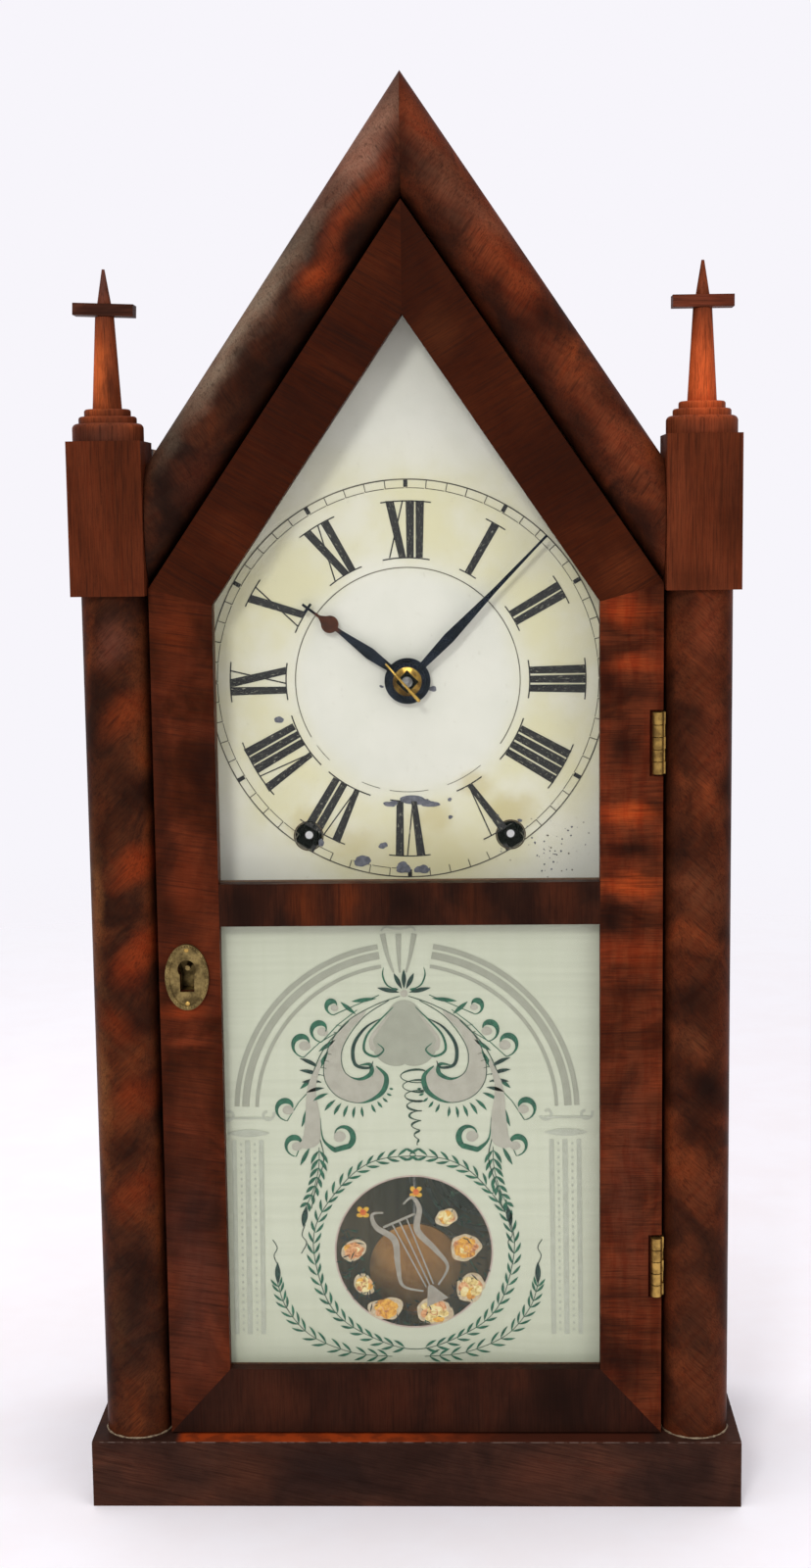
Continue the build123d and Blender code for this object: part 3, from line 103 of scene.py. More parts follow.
class Finish:
    """A node material with short calls for the nodes that the finishes share."""

    def __init__(self, name, roughness=0.5, metallic=0):
        self.material = bpy.data.materials.new(name)
        self.material.use_nodes = True
        self.tree = self.material.node_tree
        self.shader = self.tree.nodes["Principled BSDF"]
        self.shader.inputs["Roughness"].default_value = roughness
        self.shader.inputs["Metallic"].default_value = metallic
        self.place = self.move(self.node("TexCoord").outputs["Object"], scale=(1000, 1000, 1000))

    def node(self, kind, values=(), **settings):
        made = self.tree.nodes.new("ShaderNode" + kind)
        for key, value in settings.items():
            setattr(made, key, value)
        for key, value in dict(values).items():
            self.feed(made.inputs[key], value)
        return made

    def feed(self, socket, value):
        if isinstance(value, bpy.types.NodeSocket):
            self.tree.links.new(value, socket)
        else:
            socket.default_value = value

    def move(self, source, shift=(0, 0, 0), turn=(0, 0, 0), scale=(1, 1, 1), kind="POINT"):
        turn = tuple(radians(a) for a in turn)
        values = {"Vector": source, "Rotation": turn, "Scale": scale, "Location": shift}
        return self.node("Mapping", values, vector_type=kind).outputs[0]

    def noise(self, source, scale=1, detail=3, roughness=0.5, distortion=0):
        made = self.node("TexNoise", {"Vector": source, "Scale": scale, "Detail": detail,
            "Roughness": roughness, "Distortion": distortion})
        return made.outputs["Fac"]

    def warp(self, source, scale, amount):
        """The place moved about by soft noise, so that edges wander."""
        noise = self.node("TexNoise", {"Vector": source, "Scale": scale, "Detail": 2})
        centred = self.node("VectorMath", {0: noise.outputs["Color"], 1: (0.5, 0.5, 0.5)},
            operation="SUBTRACT")
        scaled = self.node("VectorMath", {0: centred.outputs[0], "Scale": amount}, operation="SCALE")
        return self.node("VectorMath", {0: source, 1: scaled.outputs[0]}, operation="ADD").outputs[0]

    def span(self, value, low, high, to_low=0, to_high=1):
        made = self.node("MapRange", {"Value": value, "From Min": low, "From Max": high,
            "To Min": to_low, "To Max": to_high}, interpolation_type="SMOOTHSTEP")
        return made.outputs[0]

    def sum(self, first, second, how="MULTIPLY"):
        return self.node("Math", {0: first, 1: second}, operation=how).outputs[0]

    def ramp(self, value, stops):
        made = self.node("ValToRGB", {"Fac": value})
        stops_made = made.color_ramp.elements
        while len(stops_made) < len(stops):
            stops_made.new(0.5)
        for element, (at, colour) in zip(stops_made, stops):
            element.position = at
            element.color = tone(*colour)
        return made.outputs["Color"]

    def mix(self, factor, first, second, how="MIX"):
        """Two colours mixed. Each is a node's output or a display colour."""
        colours = [tone(*shade) if isinstance(shade, tuple) else shade for shade in (first, second)]
        made = self.node("Mix", {0: factor, 6: colours[0], 7: colours[1]}, data_type="RGBA",
            blend_type=how)
        return made.outputs[2]

    def cloudy(self, light, dark, scale, detail=3, roughness=0.5, low=0.35, high=0.65):
        """Two display colours in soft clouds."""
        cloud = self.noise(self.place, scale, detail, roughness)
        return self.mix(self.span(cloud, low, high), light, dark)

    def centred(self, at):
        """The place as seen from a line that runs front to back through a point of the front plane."""
        return self.move(self.place, shift=(at[0], 0, at[1]), scale=(1, far, 1), kind="TEXTURE")

    def length(self, source):
        return self.node("VectorMath", {0: source}, operation="LENGTH").outputs["Value"]

    def unsigned(self, value):
        return self.node("Math", {0: value}, operation="ABSOLUTE").outputs[0]

    def patch(self, source, x, z, half_x, half_z, turn=0, soft=0.75):
        """One soft spot on the front plane: 1 at its middle and 0 outside it."""
        local = self.move(source, shift=(x, 0, z), turn=(0, turn, 0), scale=(half_x, far, half_z),
            kind="TEXTURE")
        return self.span(self.length(local), 1, 1 - soft)

    def spot(self, source, at):
        """A patch without an edge, a third larger than its listed size."""
        x, z, half_x, half_z, turn = at[:5]
        return self.patch(source, x, z, half_x * spot_growth, half_z * spot_growth, turn, 1)

    def along(self, axis):
        """One coordinate of the place, in millimetres."""
        return self.node("SeparateXYZ", {0: self.place}).outputs[axis]

    def colour(self, value):
        self.feed(self.shader.inputs["Base Color"], value)

    def bump(self, height, strength=0.3, distance=0.2):
        made = self.node("Bump", {"Height": height, "Strength": strength, "Distance": distance * mm})
        self.feed(self.shader.inputs["Normal"], made.outputs[0])

    def rough(self, value):
        self.feed(self.shader.inputs["Roughness"], value)

    def set(self, **values):
        for key, value in values.items():
            self.shader.inputs[key.replace("_", " ")].default_value = value


# Woods

figure_spread = (0.24, 0.43, 0.59, 0.8)
deep = (26, 15, 11)
glow = (136, 56, 24)


def veneer(node, grain, seed, size, colours, bands=0.35, lights=(), darks=(), gloss=0.34, stretch=2.2,
        lines=0.4):
    """Figured mahogany for one part. grain is the lean of its fibres from the vertical.

    A light or dark spot is x, z, half its width and height, its lean, its strength and its colour.
    Some spots are painted light and shade: sheen and shade on the gable mouldings, a highlight on each
    finial.
    """
    wood = Finish(node + "_veneer")
    turned = wood.move(wood.place, shift=(seed * 37, seed * 91, seed * 53), turn=(0, grain, 0))
    wander = wood.warp(turned, 0.02, 26)
    drawn = wood.move(wander, scale=(1 / size, 1 / size, 1 / (size * stretch)))
    figure = wood.noise(drawn, 1, 4, 0.58, 0.6)
    flame = wood.ramp(figure, tuple(zip(figure_spread, colours)))
    wandering = wood.warp(wood.warp(wood.place, 0.05, 12), 0.3, 2)
    for spots, shade in ((lights, glow), (darks, deep)):
        for at in spots:
            colour = at[6] if len(at) > 6 else shade
            flame = wood.mix(wood.sum(wood.spot(wandering, at), at[5]), flame, colour)
    ripple = wood.noise(wood.move(wood.warp(turned, 0.05, 5), scale=(0.05, 0.05, 0.32)), 1, 3, 0.6)
    warmed = wood.mix(0.6, flame, glow, "SOFT_LIGHT")
    flame = wood.mix(wood.span(ripple, 0.38, 0.66, 0, bands), flame, warmed)
    streaks = wood.noise(wood.move(turned, scale=(0.85, 0.85, 0.035)), 1, 3, 0.65)
    flame = wood.mix(wood.span(streaks, 0.5, 0.7, 0, 0.42), flame, deep)
    warmed = wood.mix(0.7, flame, glow, "SOFT_LIGHT")
    flame = wood.mix(wood.span(streaks, 0.46, 0.3, 0, 0.3), flame, warmed)
    fibres = wood.noise(wood.move(turned, scale=(2.4, 2.4, 0.09)), 1, 3, 0.7)
    flame = wood.mix(wood.span(fibres, 0.32, 0.6, lines, 0), flame, deep)
    pores = wood.noise(wood.move(turned, scale=(4.5, 4.5, 0.35)), 1, 1, 0.5)
    pits = wood.span(pores, 0.68, 0.78)
    wood.shade = wood.mix(wood.sum(pits, 0.5), flame, deep)
    wood.colour(wood.shade)
    cloud = wood.noise(wood.place, 0.06, 3, 0.6)
    wood.rough(wood.span(cloud, 0.3, 0.7, gloss - 0.06, gloss + 0.1))
    wood.bump(wood.sum(wood.sum(fibres, 0.4), wood.sum(pits, -0.9), "ADD"), 0.22, 0.06)
    wood.set(Specular_IOR_Level=0.015)
    finishes[node] = wood
    return wood


def softwood(node, light, dark, grain_scale=(0.35, 0.35, 0.012), seed=0):
    wood = Finish(node + "_pine", 0.75)
    moved = wood.warp(wood.move(wood.place, shift=(seed * 41, seed * 17, seed * 29)), 0.01, 9)
    rings = wood.noise(wood.move(moved, scale=grain_scale), 1, 2, 0.5, 0.4)
    fine = wood.noise(wood.move(moved, scale=tuple(s * 7 for s in grain_scale)), 1, 3, 0.7)
    body = wood.ramp(rings, ((0.35, dark), (0.5, light), (0.62, dark)))
    wood.colour(wood.mix(wood.span(fine, 0.35, 0.65, 0.4, 0), body, dark))
    wood.bump(wood.sum(fine, rings, "ADD"), 0.3, 0.1)
    finishes[node] = wood


# Metals and paint

def metal(name, light, dark, roughness=0.3, scratch=(0.4, 6, 0.4), size=0.12, spots=0, rust=None):
    made = Finish(name, roughness, 1)
    cloud = made.noise(made.place, size, 4, 0.6)
    lines = made.noise(made.move(made.place, scale=scratch), 1, 3, 0.6)
    shade = made.mix(made.span(cloud, 0.32, 0.68), light, dark)
    if spots:
        specks = made.span(made.noise(made.place, 1.6, 2), 0.62, 0.74)
        shade = made.mix(made.sum(specks, spots), shade, rust or dark)
    made.colour(shade)
    made.rough(made.span(made.sum(cloud, lines, "ADD"), 0.7, 1.3, roughness - 0.08, roughness + 0.16))
    made.bump(lines, 0.12, 0.04)
    return made


aged_brass = metal("aged_brass", (146, 126, 80), (88, 74, 46), 0.46, size=0.3, spots=0.6,
    rust=(60, 46, 30))
polished_brass = metal("polished_brass", (224, 186, 92), (182, 140, 60), 0.2)
movement_brass = metal("movement_brass", (196, 160, 84), (150, 116, 56), 0.32, scratch=(5, 5, 0.3))
steel = metal("steel", (176, 176, 172), (120, 118, 114), 0.3, spots=0.25, rust=(96, 70, 48))
blued_steel = metal("blued_steel", (44, 50, 62), (24, 27, 34), 0.28, scratch=(1.5, 1.5, 1.5), size=0.2)
cast_iron = metal("cast_iron", (58, 56, 54), (34, 32, 31), 0.6, scratch=(2, 2, 2), size=0.5)


def glass(name, shade, alpha):
    made = Finish(name, 0.03)
    film = made.noise(made.place, 0.03, 3, 0.6)
    made.colour(made.mix(made.span(film, 0.3, 0.7), shade, (88, 98, 88)))
    made.rough(made.span(film, 0.35, 0.65, 0.02, 0.06))
    made.set(Alpha=alpha, IOR=1.5)
    made.bump(made.noise(made.place, 0.02, 1), 0.05, 0.2)
    return made


def dial_paint():
    made = Finish("painted_tin", 0.4)
    radius = made.length(made.warp(made.centred(hands_at), 0.05, 7))
    ring = made.sum(made.span(radius, 34, 50), made.span(radius, 92, 66))
    cloud = made.noise(made.place, 0.035, 4, 0.6)
    ivory = made.mix(made.span(cloud, 0.3, 0.7), (236, 236, 220), (227, 228, 211))
    aged = made.mix(made.sum(ring, made.span(cloud, 0.3, 0.66, 0.35, 1)), ivory, (227, 223, 180))
    low = made.patch(made.warp(made.place, 0.05, 12), 6, 236, 44, 17)
    aged = made.mix(made.sum(low, 0.6), aged, (206, 196, 138))
    stains = ((24, 262, 9, 0.5), (36, 252, 13, 0.6), (-36, 247, 12, 0.5), (-22, 240, 12, 0.35),
        (8, 250, 10, 0.5), (58, 300, 9, 0.3))
    for x, z, half, amount in stains:
        spot = made.patch(made.warp(made.place, 0.12, 9), x, z, half, half * 0.8)
        aged = made.mix(made.sum(spot, amount), aged, (198, 182, 112))
    grime = made.span(made.noise(made.place, 0.5, 4, 0.7), 0.6, 0.75, 0, 0.25)
    aged = made.mix(grime, aged, (176, 170, 140))
    specks = made.node("TexVoronoi", {"Vector": made.place, "Scale": 0.3})
    low_corner = made.patch(made.place, 52, 238, 26, 22)
    dots = made.sum(made.span(specks.outputs["Distance"], 0.13, 0.06), low_corner)
    aged = made.mix(dots, aged, (96, 88, 66))
    # Painted shade: the back of the dial and the rear part of its hole walls are dark grey
    back_in_shade = made.span(made.along(1), -28.8, -28.6)
    made.colour(made.mix(back_in_shade, aged, (52, 48, 44)))
    made.bump(made.noise(made.place, 0.9, 4, 0.7), 0.08, 0.08)
    made.set(Coat_Weight=0.1, Coat_Roughness=0.3)
    return made


def plain_paint(name, shade, other, roughness=0.5, scale=0.4, bump=0.1):
    made = Finish(name, roughness)
    made.colour(made.cloudy(shade, other, scale, 4, 0.6))
    made.bump(made.noise(made.place, 2, 3, 0.7), bump, 0.05)
    return made


def worn_black():
    """Numeral paint with pale scratches that run along each stroke, by the strokes' own map."""
    made = Finish("numeral_black", 0.45)
    strokes = made.node("TexCoord").outputs["UV"]
    lines = made.noise(made.move(strokes, scale=(2, 0.5, 1)), 1, 3, 0.7, 0.2)
    wear = made.span(lines, 0.6, 0.65)
    made.colour(made.mix(made.sum(wear, 0.7), (18, 17, 16), (176, 172, 150)))
    return made


def tablet_ground():
    made = Finish("tablet_ground", 0.35)
    brush = made.noise(made.move(made.warp(made.place, 0.03, 2), scale=(0.006, 0.006, 0.45)), 1, 4, 0.7)
    down = made.noise(made.move(made.place, scale=(0.3, 0.3, 0.008)), 1, 3, 0.6)
    shade = made.mix(made.span(brush, 0.3, 0.7), (202, 207, 182), (210, 215, 190))
    shade = made.mix(made.sum(made.span(down, 0.4, 0.7), 0.35), shade, (198, 204, 176))
    shade = made.mix(made.span(made.along(2), 96, 54, 0, 0.25), shade, (176, 182, 152))
    # Painted shade: the ground darkens towards its side edges, under the door frame
    edge = made.span(made.unsigned(made.along(0)), 62, 67.5, 0, 0.2)
    made.colour(made.mix(edge, shade, (186, 190, 164)))
    made.bump(brush, 0.08, 0.06)
    return made


def petal_paint(name, light, middle, shadow):
    made = Finish(name, 0.45)
    cloud = made.noise(made.warp(made.place, 0.3, 1.5), 0.45, 3, 0.6, 1.2)
    made.colour(made.ramp(cloud, ((0.34, shadow), (0.47, middle), (0.6, light))))
    made.bump(cloud, 0.1, 0.05)
    return made


# Flat painting

leaf_fullness = 0.7 / 0.67


def around(centre, radius, angle):
    """A point by its distance and its angle in degrees from a centre."""
    turn = radians(angle)
    return centre[0] + radius * cos(turn), centre[1] + radius * sin(turn)


def heading_of(here, there):
    return degrees(atan2(there[1] - here[1], there[0] - here[0]))


def put(name, data, body):
    piece = bpy.data.objects.new(name, data)
    link(piece)
    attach(piece, body)


class Drawing:
    """Flat painted strokes on a plane that faces the front. Points are (x, z) in millimetres."""

    def __init__(self, y):
        self.y = y
        self.layer = 0
        self.points = []
        self.faces = []
        self.uses = []
        self.map = []

    def face(self, corners, use=0, map_to=None):
        area = sum(a[0] * b[1] - b[0] * a[1] for a, b in zip(corners, corners[1:] + corners[:1]))
        map_to = map_to or corners
        if area < 0:
            corners = corners[::-1]
            map_to = map_to[::-1]
        start = len(self.points)
        depth = (self.y - 0.004 * (self.layer % 25)) * mm
        self.points += [(x * mm, depth, z * mm) for x, z in corners]
        self.faces.append(tuple(range(start, start + len(corners))))
        self.uses.append(use)
        self.map += list(map_to)

    def between(self, first, second, use=0):
        """Fills between two lines with the same number of points, just over the last stroke."""
        self.layer += 1
        for a, b, c, d in zip(first, first[1:], second[1:], second):
            self.face([a, b, c, d], use)

    def stroke(self, line, width, use=0):
        """A brush stroke along a line; width is a number or a function of the share along it."""
        left, right = [], []
        for place, point in enumerate(line):
            before = line[max(place - 1, 0)]
            after = line[min(place + 1, len(line) - 1)]
            run = (after[0] - before[0], after[1] - before[1])
            size = hypot(*run) or 1
            share = place / (len(line) - 1)
            half = (width(share) if callable(width) else width) / 2
            side = (-run[1] / size * half, run[0] / size * half)
            left.append((point[0] + side[0], point[1] + side[1]))
            right.append((point[0] - side[0], point[1] - side[1]))
        self.between(left, right, use)

    def leaf(self, x, z, angle, length, width, use=0, bend=0):
        """A pointed stroke that swells towards its far end, as a loaded brush leaves it."""
        line = [around((x, z), length * step / 8, angle + bend * step / 8) for step in range(9)]
        self.stroke(line, lambda s: width * max(0.05, sin(pi * s ** leaf_fullness) ** 0.9), use)

    def ring(self, centre, inner, outer, start=0, end=360, steps=96, use=0):
        arcs = [[around(centre, radius, start + (end - start) * i / steps) for i in range(steps + 1)]
            for radius in (inner, outer)]
        self.between(*arcs, use)

    def blob(self, x, z, half_x, half_z, use=0, rough=0.15, seed=0, steps=28):
        """A filled shape with an uneven edge."""
        self.layer += 1
        pick = random.Random(seed)
        counts = (2, 3, 5, 8)
        waves = [(n, pick.uniform(-rough, rough) / (n - 1), pick.uniform(0, 6.28)) for n in counts]
        rim = []
        for step in range(steps):
            turn = 2 * pi * step / steps
            swell = 1 + sum(size * cos(n * turn + start) for n, size, start in waves)
            rim.append((x + half_x * swell * cos(turn), z + half_z * swell * sin(turn)))
        for a, b in zip(rim, rim[1:] + rim[:1]):
            self.face([(x, z), a, b], use)

    def make(self, name, paints, body):
        data = bpy.data.meshes.new(name)
        data.from_pydata(self.points, [], self.faces)
        layer = data.uv_layers.new(name="strokes")
        for loop, place in zip(layer.data, self.map):
            loop.uv = place
        for paint in paints:
            data.materials.append(paint.material)
        for polygon, use in zip(data.polygons, self.uses):
            polygon.material_index = use
        put(name, data, body)


def curve(points, steps=10):
    """A smooth line through the points."""
    line = []
    for i in range(len(points) - 1):
        p0 = points[max(i - 1, 0)]
        p1, p2 = points[i], points[i + 1]
        p3 = points[min(i + 2, len(points) - 1)]
        for step in range(steps):
            t = step / steps
            line.append(tuple(0.5 * (2 * b + (c - a) * t + (2 * a - 5 * b + 4 * c - d) * t * t
                + (3 * b - a - 3 * c + d) * t ** 3) for a, b, c, d in zip(p0, p1, p2, p3)))
    return line + [points[-1]]


volute_shrink = 0.35


def volute(x, z, radius, start, turns, steps=26):
    """A spiral from its outside in; start in degrees, turns signed."""
    line = []
    for step in range(steps + 1):
        share = step / steps
        size = radius * (1 - (1 - volute_shrink) * share)
        line.append(around((x, z), size, start + 360 * turns * share))
    return line


def swell(most, ends=0.15):
    return lambda s: most * (ends + (1 - ends) * sin(pi * s))


# Solid pieces

def solid(name, data_maker, finish, body):
    """A smooth piece made in mesh code."""
    data = bpy.data.meshes.new(name)
    shape = bmesh.new()
    data_maker(shape)
    bmesh.ops.recalc_face_normals(shape, faces=shape.faces)
    shape.to_mesh(data)
    shape.free()
    data.materials.append(finish.material)
    for polygon in data.polygons:
        polygon.use_smooth = True
    put(name, data, body)


def turned(shape, centre, axis, profile, steps):
    """A turned form: profile is (along, radius) pairs in millimetres, from one end to the other."""
    axis = Vector(axis).normalized()
    side = axis.orthogonal().normalized()
    other = axis.cross(side)
    centre = Vector(centre)
    rings = []
    for along, radius in profile:
        ring = []
        for step in range(steps):
            turn = 2 * pi * step / steps
            aside = side * (radius * cos(turn)) + other * (radius * sin(turn))
            ring.append(shape.verts.new((centre + axis * along + aside) * mm))
        rings.append(ring)
    for first, second in zip(rings, rings[1:]):
        for step in range(steps):
            after = (step + 1) % steps
            shape.faces.new((first[step], first[after], second[after], second[step]))
    shape.faces.new(rings[0][::-1])
    shape.faces.new(rings[-1])


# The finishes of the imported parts

turnery = ((76, 36, 20), (104, 50, 29), (126, 62, 36), (154, 80, 46))
block_wood = ((72, 33, 17), (88, 40, 21), (100, 47, 26), (122, 60, 34))
rail_wood = ((42, 17, 8), (54, 22, 10), (64, 27, 12), (80, 36, 17))
side_wood = ((40, 20, 12), (54, 26, 15), (68, 33, 19), (86, 42, 25))
# A paler brown for the strips along the left column's left edge
pale_left_edge = (122, 76, 42)
# Pale grey painted sheen for the outer half of the left gable moulding
painted_sheen = (140, 122, 102)
base = veneer("base", 78, 1, 26, ((40, 25, 20), (54, 34, 27), (68, 42, 32), (90, 52, 37)), 0.1,
    lights=((-62, 12, 16, 12, 0, 0.5, (88, 50, 34)), (46, 12, 16, 10, 0, 0.4, (88, 48, 34)),
    (-98, 14, 10, 10, 0, 0.3, (84, 46, 32))), darks=((-32, 12, 22, 16, 20, 0.6, (34, 25, 23)),
    (88, 10, 26, 14, 0, 0.4, (38, 27, 24))), stretch=1.4)
veneer("column_left", -46, 2, 20, ((24, 15, 12), (54, 29, 18), (86, 44, 24), (124, 60, 28)), 0.4,
    lights=((-103, 316, 7, 11, 10, 0.55, (112, 66, 50)), (-98, 290, 7, 14, 46, 0.7, (126, 54, 24)),
    (-96, 236, 6, 12, 46, 0.75, (138, 54, 22)), (-95, 205, 6, 16, 40, 0.75, (140, 56, 24)),
    (-111, 222, 4, 36, 0, 0.75, pale_left_edge), (-111, 152, 4, 34, 0, 0.7, pale_left_edge), (-104, 178, 8, 6, 46, 0.6),
    (-98, 152, 7, 12, 46, 0.5), (-100, 118, 8, 12, 46, 0.5), (-108, 70, 4, 20, 0, 0.3, pale_left_edge)),
    darks=((-107, 300, 8, 9, 30, 0.7), (-97, 264, 8, 9, 0, 0.7), (-105, 250, 6, 18, 30, 0.6),
    (-98, 180, 10, 10, 46, 0.7), (-103, 134, 9, 9, 46, 0.6), (-103, 74, 13, 42, 0, 0.65, (42, 28, 22)),
    (-97, 84, 8, 12, 46, 0.6)))
veneer("column_right", 48, 3, 20, ((32, 17, 12), (66, 33, 19), (98, 48, 26), (132, 62, 30)), 0.4,
    lights=((104, 318, 8, 14, 0, 0.5, (126, 60, 36)), (106, 278, 7, 24, 0, 0.45, (120, 56, 32)),
    (104, 225, 9, 16, -50, 0.4, (122, 68, 42)), (101, 170, 6, 10, -50, 0.5, (116, 64, 38)),
    (106, 118, 6, 14, 60, 0.4, (112, 58, 34))),
    darks=((111, 262, 5, 8, 0, 0.6), (95, 242, 5, 8, 0, 0.6), (97, 186, 7, 9, 40, 0.75),
    (104, 153, 11, 9, 30, 0.9), (97, 138, 6, 8, 0, 0.7), (104, 70, 12, 44, 0, 0.5, (54, 34, 24)),
    (108, 92, 9, 7, 60, 0.5)))
veneer("capital_block_left", 0, 4, 18, block_wood, 0.1, stretch=6,
    darks=((-112, 334, 12, 7, 0, 0.4, (66, 32, 18)),))
veneer("capital_block_right", 0, 5, 18, block_wood, 0.1, stretch=6,
    darks=((113, 362, 8, 20, 0, 0.6, (58, 27, 15)), (100, 334, 18, 6, 0, 0.4, (60, 28, 15))))
# Painted highlight: the tall, narrow, bright spot on each finial's cone.
veneer("finial_left", 0, 6, 16, turnery, 0.1, lights=((-105, 407, 6, 16, 0, 0.9, (206, 100, 48)),),
    darks=((-103, 386, 16, 7, 0, 0.7, (60, 38, 30)), (-103, 440, 9, 12, 0, 0.8, (78, 54, 48))),
    stretch=4)
veneer("finial_right", 0, 7, 16, turnery, 0.1, lights=((103, 404, 8, 20, 0, 0.9, (212, 94, 46)),),
    darks=((103, 386, 16, 5, 0, 0.4, (76, 40, 28)),), stretch=4)
veneer("finial_crossbars", 90, 8, 14, ((50, 28, 20), (68, 38, 27), (86, 50, 36), (104, 62, 46)), 0.1,
    lights=((103, 428, 16, 8, 0, 0.7, (118, 56, 36)),))
# Painted sheen: the long pale grey spots along the outer half of the moulding. Painted shade: the long
# dark spots along its inner half, turned away from the light.
veneer("gable_moulding_left", slope, 9, 22, ((24, 16, 13), (46, 27, 19), (76, 41, 25), (120, 58, 30)),
    0.4, lights=((-56, 422, 7, 50, slope, 0.8, painted_sheen), (-14, 482, 7, 30, slope, 0.8, (150, 110, 90)),
    (-28, 438.6, 7, 10, slope, 0.85, (156, 66, 30)), (-19, 457, 6, 18, slope, 0.6, (140, 62, 32)),
    (-7.6, 474, 5, 14, 20, 0.5, (134, 62, 38)), (-70, 372, 8, 12, slope, 0.5, (96, 44, 26))),
    darks=((-46, 402, 8, 70, slope, 0.75), (-12, 452, 8, 26, slope, 0.8), (-52, 408, 9, 26, slope, 0.7),
    (-24, 468, 5, 8, slope, 0.4), (-76, 352, 9, 12, slope, 0.7)), gloss=0.4)
# Painted shade: the long dark spots along the inner half of the moulding, turned away from the light.
veneer("gable_moulding_right", -slope, 10, 22,
    ((28, 16, 12), (62, 31, 19), (96, 47, 27), (134, 62, 30)), 0.45,
    lights=((5, 490, 7, 16, -slope, 0.6, (140, 66, 38)), (17, 466, 7, 24, -slope, 0.45, (118, 76, 56)),
    (37, 437, 8, 26, -slope, 0.5, (144, 62, 30)), (46, 408, 7, 12, -slope, 0.4, (124, 58, 32)),
    (73, 385, 7, 22, -slope, 0.6, (128, 62, 36)), (30, 458, 5, 16, -slope, 0.5, (120, 72, 52))),
    darks=((50, 423, 9, 13, -slope, 0.8), (14, 450, 9, 34, -slope, 0.75), (48, 400, 8, 40, -slope, 0.7),
    (62, 392, 7, 10, -slope, 0.5), (80, 356, 8, 12, -slope, 0.5)), gloss=0.4)
veneer("door_gable_rail_left", 60, 11, 34, rail_wood, 0.15,
    lights=((-58, 352, 14, 9, slope, 0.4, (88, 38, 17)),))
veneer("door_gable_rail_right", -60, 12, 34, rail_wood, 0.15,
    lights=((12, 420, 8, 12, 0, 0.4, (86, 44, 22)), (76, 338, 10, 8, 0, 0.5, (102, 48, 24))))
veneer("door_stile_left", 82, 13, 22, ((38, 16, 8), (60, 26, 12), (82, 36, 19), (110, 50, 26)), 0.25,
    lights=((-81, 322, 9, 9, 0, 0.45, (120, 52, 24)), (-80, 230, 9, 12, 0, 0.5, (116, 48, 24)),
    (-82, 184, 10, 3.5, 0, 0.75, (140, 58, 26)), (-80, 172, 10, 3, 0, 0.6, (126, 56, 30)),
    (-80, 150, 9, 16, 0, 0.4, (108, 52, 32)), (-80, 84, 12, 50, 0, 0.4, (86, 54, 44))),
    darks=((-71, 272, 6, 16, 0, 0.6), (-88, 250, 4, 60, 0, 0.5), (-80, 212, 12, 4, 0, 0.4),
    (-88, 120, 4, 60, 0, 0.4), (-78, 108, 9, 13, 0, 0.7, (40, 24, 20)), (-80, 196, 12, 5, 0, 0.5),
    (-70, 110, 4, 14, 0, 0.4)), stretch=1.3, lines=0.3)
veneer("door_stile_right", 90, 14, 20, ((38, 18, 11), (74, 34, 18), (104, 48, 26), (142, 64, 32)), 0.6,
    lights=((77, 325, 10, 7, 0, 0.75, (164, 66, 28)), (80, 306, 12, 4, 0, 0.75, (160, 66, 30)),
    (85, 283, 5, 12, 0, 0.5, (124, 56, 32)), (79, 253, 13, 4, 0, 0.85, (172, 72, 30)),
    (78, 228, 13, 4.5, 0, 0.85, (164, 68, 28)), (80, 203, 12, 6, 0, 0.5),
    (78, 118, 10, 50, 0, 0.35, (112, 62, 44))),
    darks=((74, 277, 7, 11, 0, 0.8), (80, 296, 13, 4, 0, 0.65), (79, 241, 13, 5, 0, 0.9),
    (72, 215, 10, 7, 0, 0.9), (78, 190, 12, 5, 0, 0.5), (70, 300, 4, 9, 0, 0.5),
    (76, 52, 14, 9, 40, 0.7)), stretch=1.8)
veneer("door_middle_rail", 0, 15, 20, ((28, 17, 14), (42, 24, 17), (60, 31, 20), (84, 40, 21)), 0.1,
    lights=((-37, 222, 8, 14, 0, 0.6, (100, 45, 20)), (-21, 222, 5, 14, 0, 0.6, (104, 46, 20)),
    (24, 222, 7, 14, 0, 0.4, (84, 40, 20)), (52, 222, 8, 14, 0, 0.4, (78, 38, 22))),
    darks=((-60, 222, 10, 14, 0, 0.6), (0, 222, 12, 14, 0, 0.5)), stretch=2.4)
veneer("door_bottom_rail", 0, 16, 30, ((28, 16, 13), (40, 22, 16), (54, 29, 20), (72, 36, 22)), 0.1,
    lights=((-50, 38, 12, 14, 0, 0.5, (78, 40, 25)), (-10, 38, 12, 14, 0, 0.5, (74, 36, 22)),
    (12, 38, 5, 14, 0, 0.4, (78, 38, 22))),
    darks=((52, 38, 14, 14, 0, 0.8), (82, 32, 10, 9, 40, 0.4, (60, 26, 16))))
for side, way, more in (("left", 1, 0), ("right", -1, 1)):
    veneer("roof_board_" + side, way * slope, 17 + more, 30, side_wood, 0.1, gloss=0.45)
    veneer("case_side_" + side, way * 4, 19 + more, 30, side_wood, 0.15, gloss=0.42)
    veneer("front_stile_" + side, 0, 21 + more, 26, side_wood, 0.1, gloss=0.5)
softwood("back_board", (150, 112, 74), (122, 86, 54), (0.24, 0.24, 0.0035))
softwood("mounting_blocks", (158, 118, 76), (124, 86, 52), seed=3)
softwood("glazing_strips", (112, 78, 48), (84, 54, 34), seed=4)
finishes["dial"] = dial_paint()
finishes["upper_glass"] = glass("clear_glass", (64, 74, 66), 0.05)
finishes["tablet_glass"] = glass("tablet_glass", (70, 78, 66), 0.06)
finishes["minute_hand"] = blued_steel
finishes["gong_base"] = cast_iron
